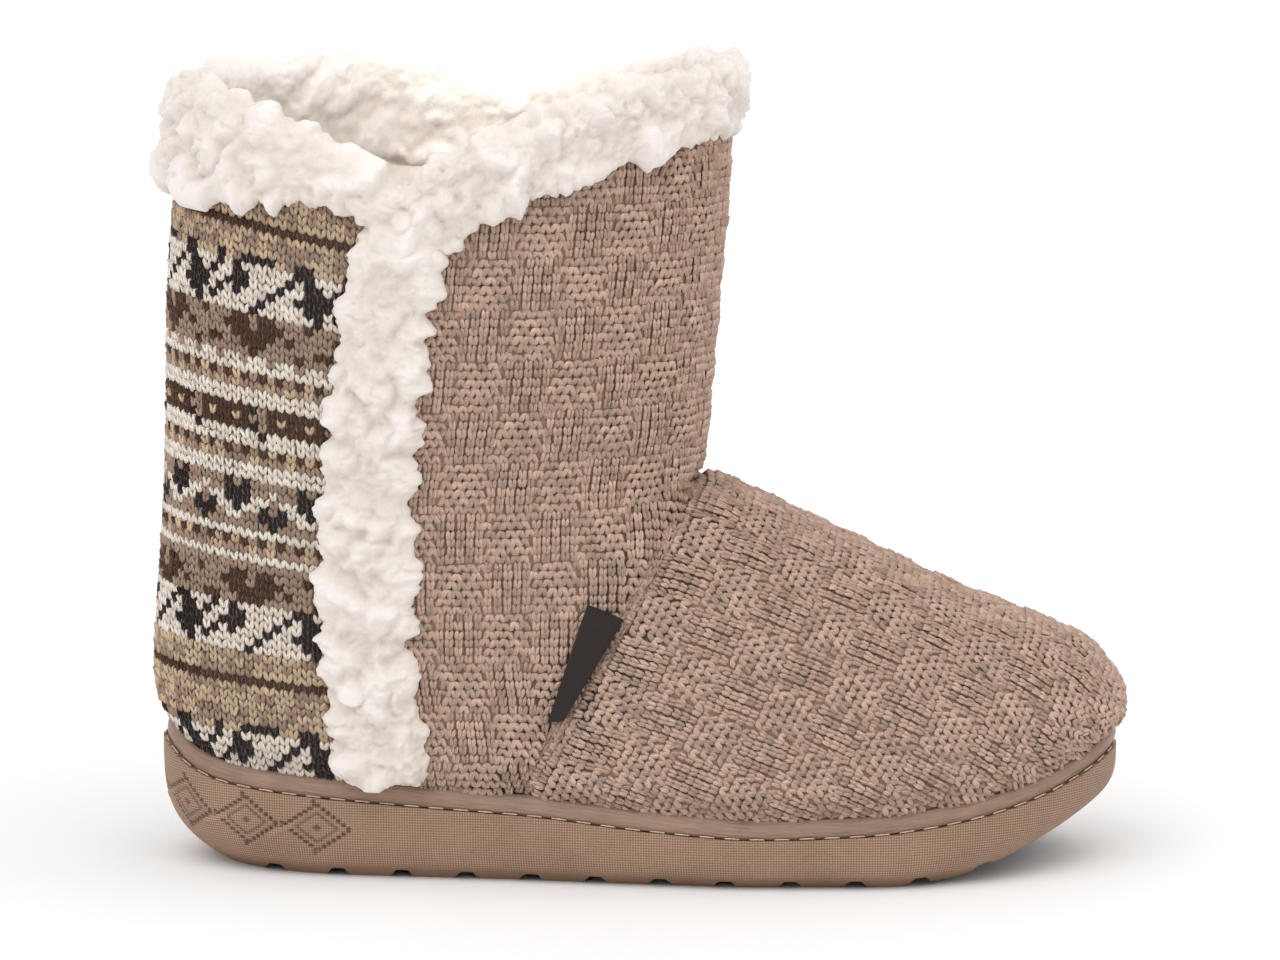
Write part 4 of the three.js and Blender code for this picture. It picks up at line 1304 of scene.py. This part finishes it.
def label():
    """Two leaves of tape, one over the other, joined by a fold at the free edge."""
    share, leaf = np.linspace(0, 1, LABEL_ROWS), np.linspace(0, 1, 9)
    back = np.concatenate([leaf, [FOLD], leaf[::-1]])[:, None]
    over = np.repeat([0, 0.5, 1], [len(leaf), 1, len(leaf)])[:, None]
    height = LABEL_LOW + (LABEL_HIGH - LABEL_LOW) * share
    width = LABEL_WIDTHS[0] + (LABEL_WIDTHS[1] - LABEL_WIDTHS[0]) * share
    lift = LABEL_GAP + LABEL_LIFT * back + LABEL_THICKNESS * over + LABEL_WAVE * np.sin(share * 5 + 1) * back
    points = side_point(-1, seam_station(height) - back * width, height + LABEL_RAKE * back * share, lift)
    faces = grid_faces(len(back), LABEL_ROWS, ring=True, loop=False).tolist()
    end = np.arange(len(back)) * LABEL_ROWS
    return add_mesh("label_tape", points, faces + [end[::-1], end + LABEL_ROWS - 1], LABEL)


declare(label(), "woven_label", "label_tab")

# %% Thread in the groove
THREAD_PITCH, THREAD_LENGTH, THREAD_RADIUS = 6.8, 4.5, 0.22
THREAD_INSET, THREAD_LIFT, THREAD_TIP_UP = 0.75, 0.35, 0.8
THREAD_PATH = ((-1, -0.6), (-0.8, 0), (0, 0.4), (0.8, 0), (1, -0.6))


def thread_tree():
    tree = Tree("thread", {"Stitch": "Object", "Pitch": "Float", "Thread": "Material"})
    path = tree.add("GeometryNodeMeshToCurve", {"Mesh": tree.inputs["Geometry"]}).outputs["Curve"]
    step = {"Curve": path, "Length": tree.inputs["Pitch"]}
    points = tree.add("GeometryNodeResampleCurve", step, mode="LENGTH").outputs["Curve"]
    along = tree.add("GeometryNodeInputTangent").outputs["Tangent"]
    rotation = tree.turned(along, tree.named("outward"), primary_axis="X", secondary_axis="Z")
    tree.close([tree.instances(points, "Stitch", Rotation=rotation)], "Thread")
    return tree


def thread():
    angles = turn(600)
    radius = THREAD_RADIUS * MM
    path = [(along * THREAD_LENGTH / 2 * MM, 0, out * radius) for along, out in THREAD_PATH]
    stitch = template("thread_stitch", *spindle(path, radius, (radius, radius, radius), 6))
    edges = [(i, (i + 1) % len(angles)) for i in range(len(angles))]
    base = add_mesh("stitch_line", edge_line(angles, THREAD_INSET, THREAD_LIFT), [], edges=edges)
    outward = unit(outline_point(angles, THREAD_INSET) - outline_point(angles, THREAD_INSET + 1))
    tip = np.full((len(angles), 1), THREAD_TIP_UP)
    paint(base, "outward", np.concatenate([outward, tip], 1), "FLOAT_VECTOR")
    values = {"Stitch": stitch, "Pitch": THREAD_PITCH * MM, "Thread": THREAD}
    return thread_tree().run("welt_thread", base, values)


declare(thread(), "welt_rubber")
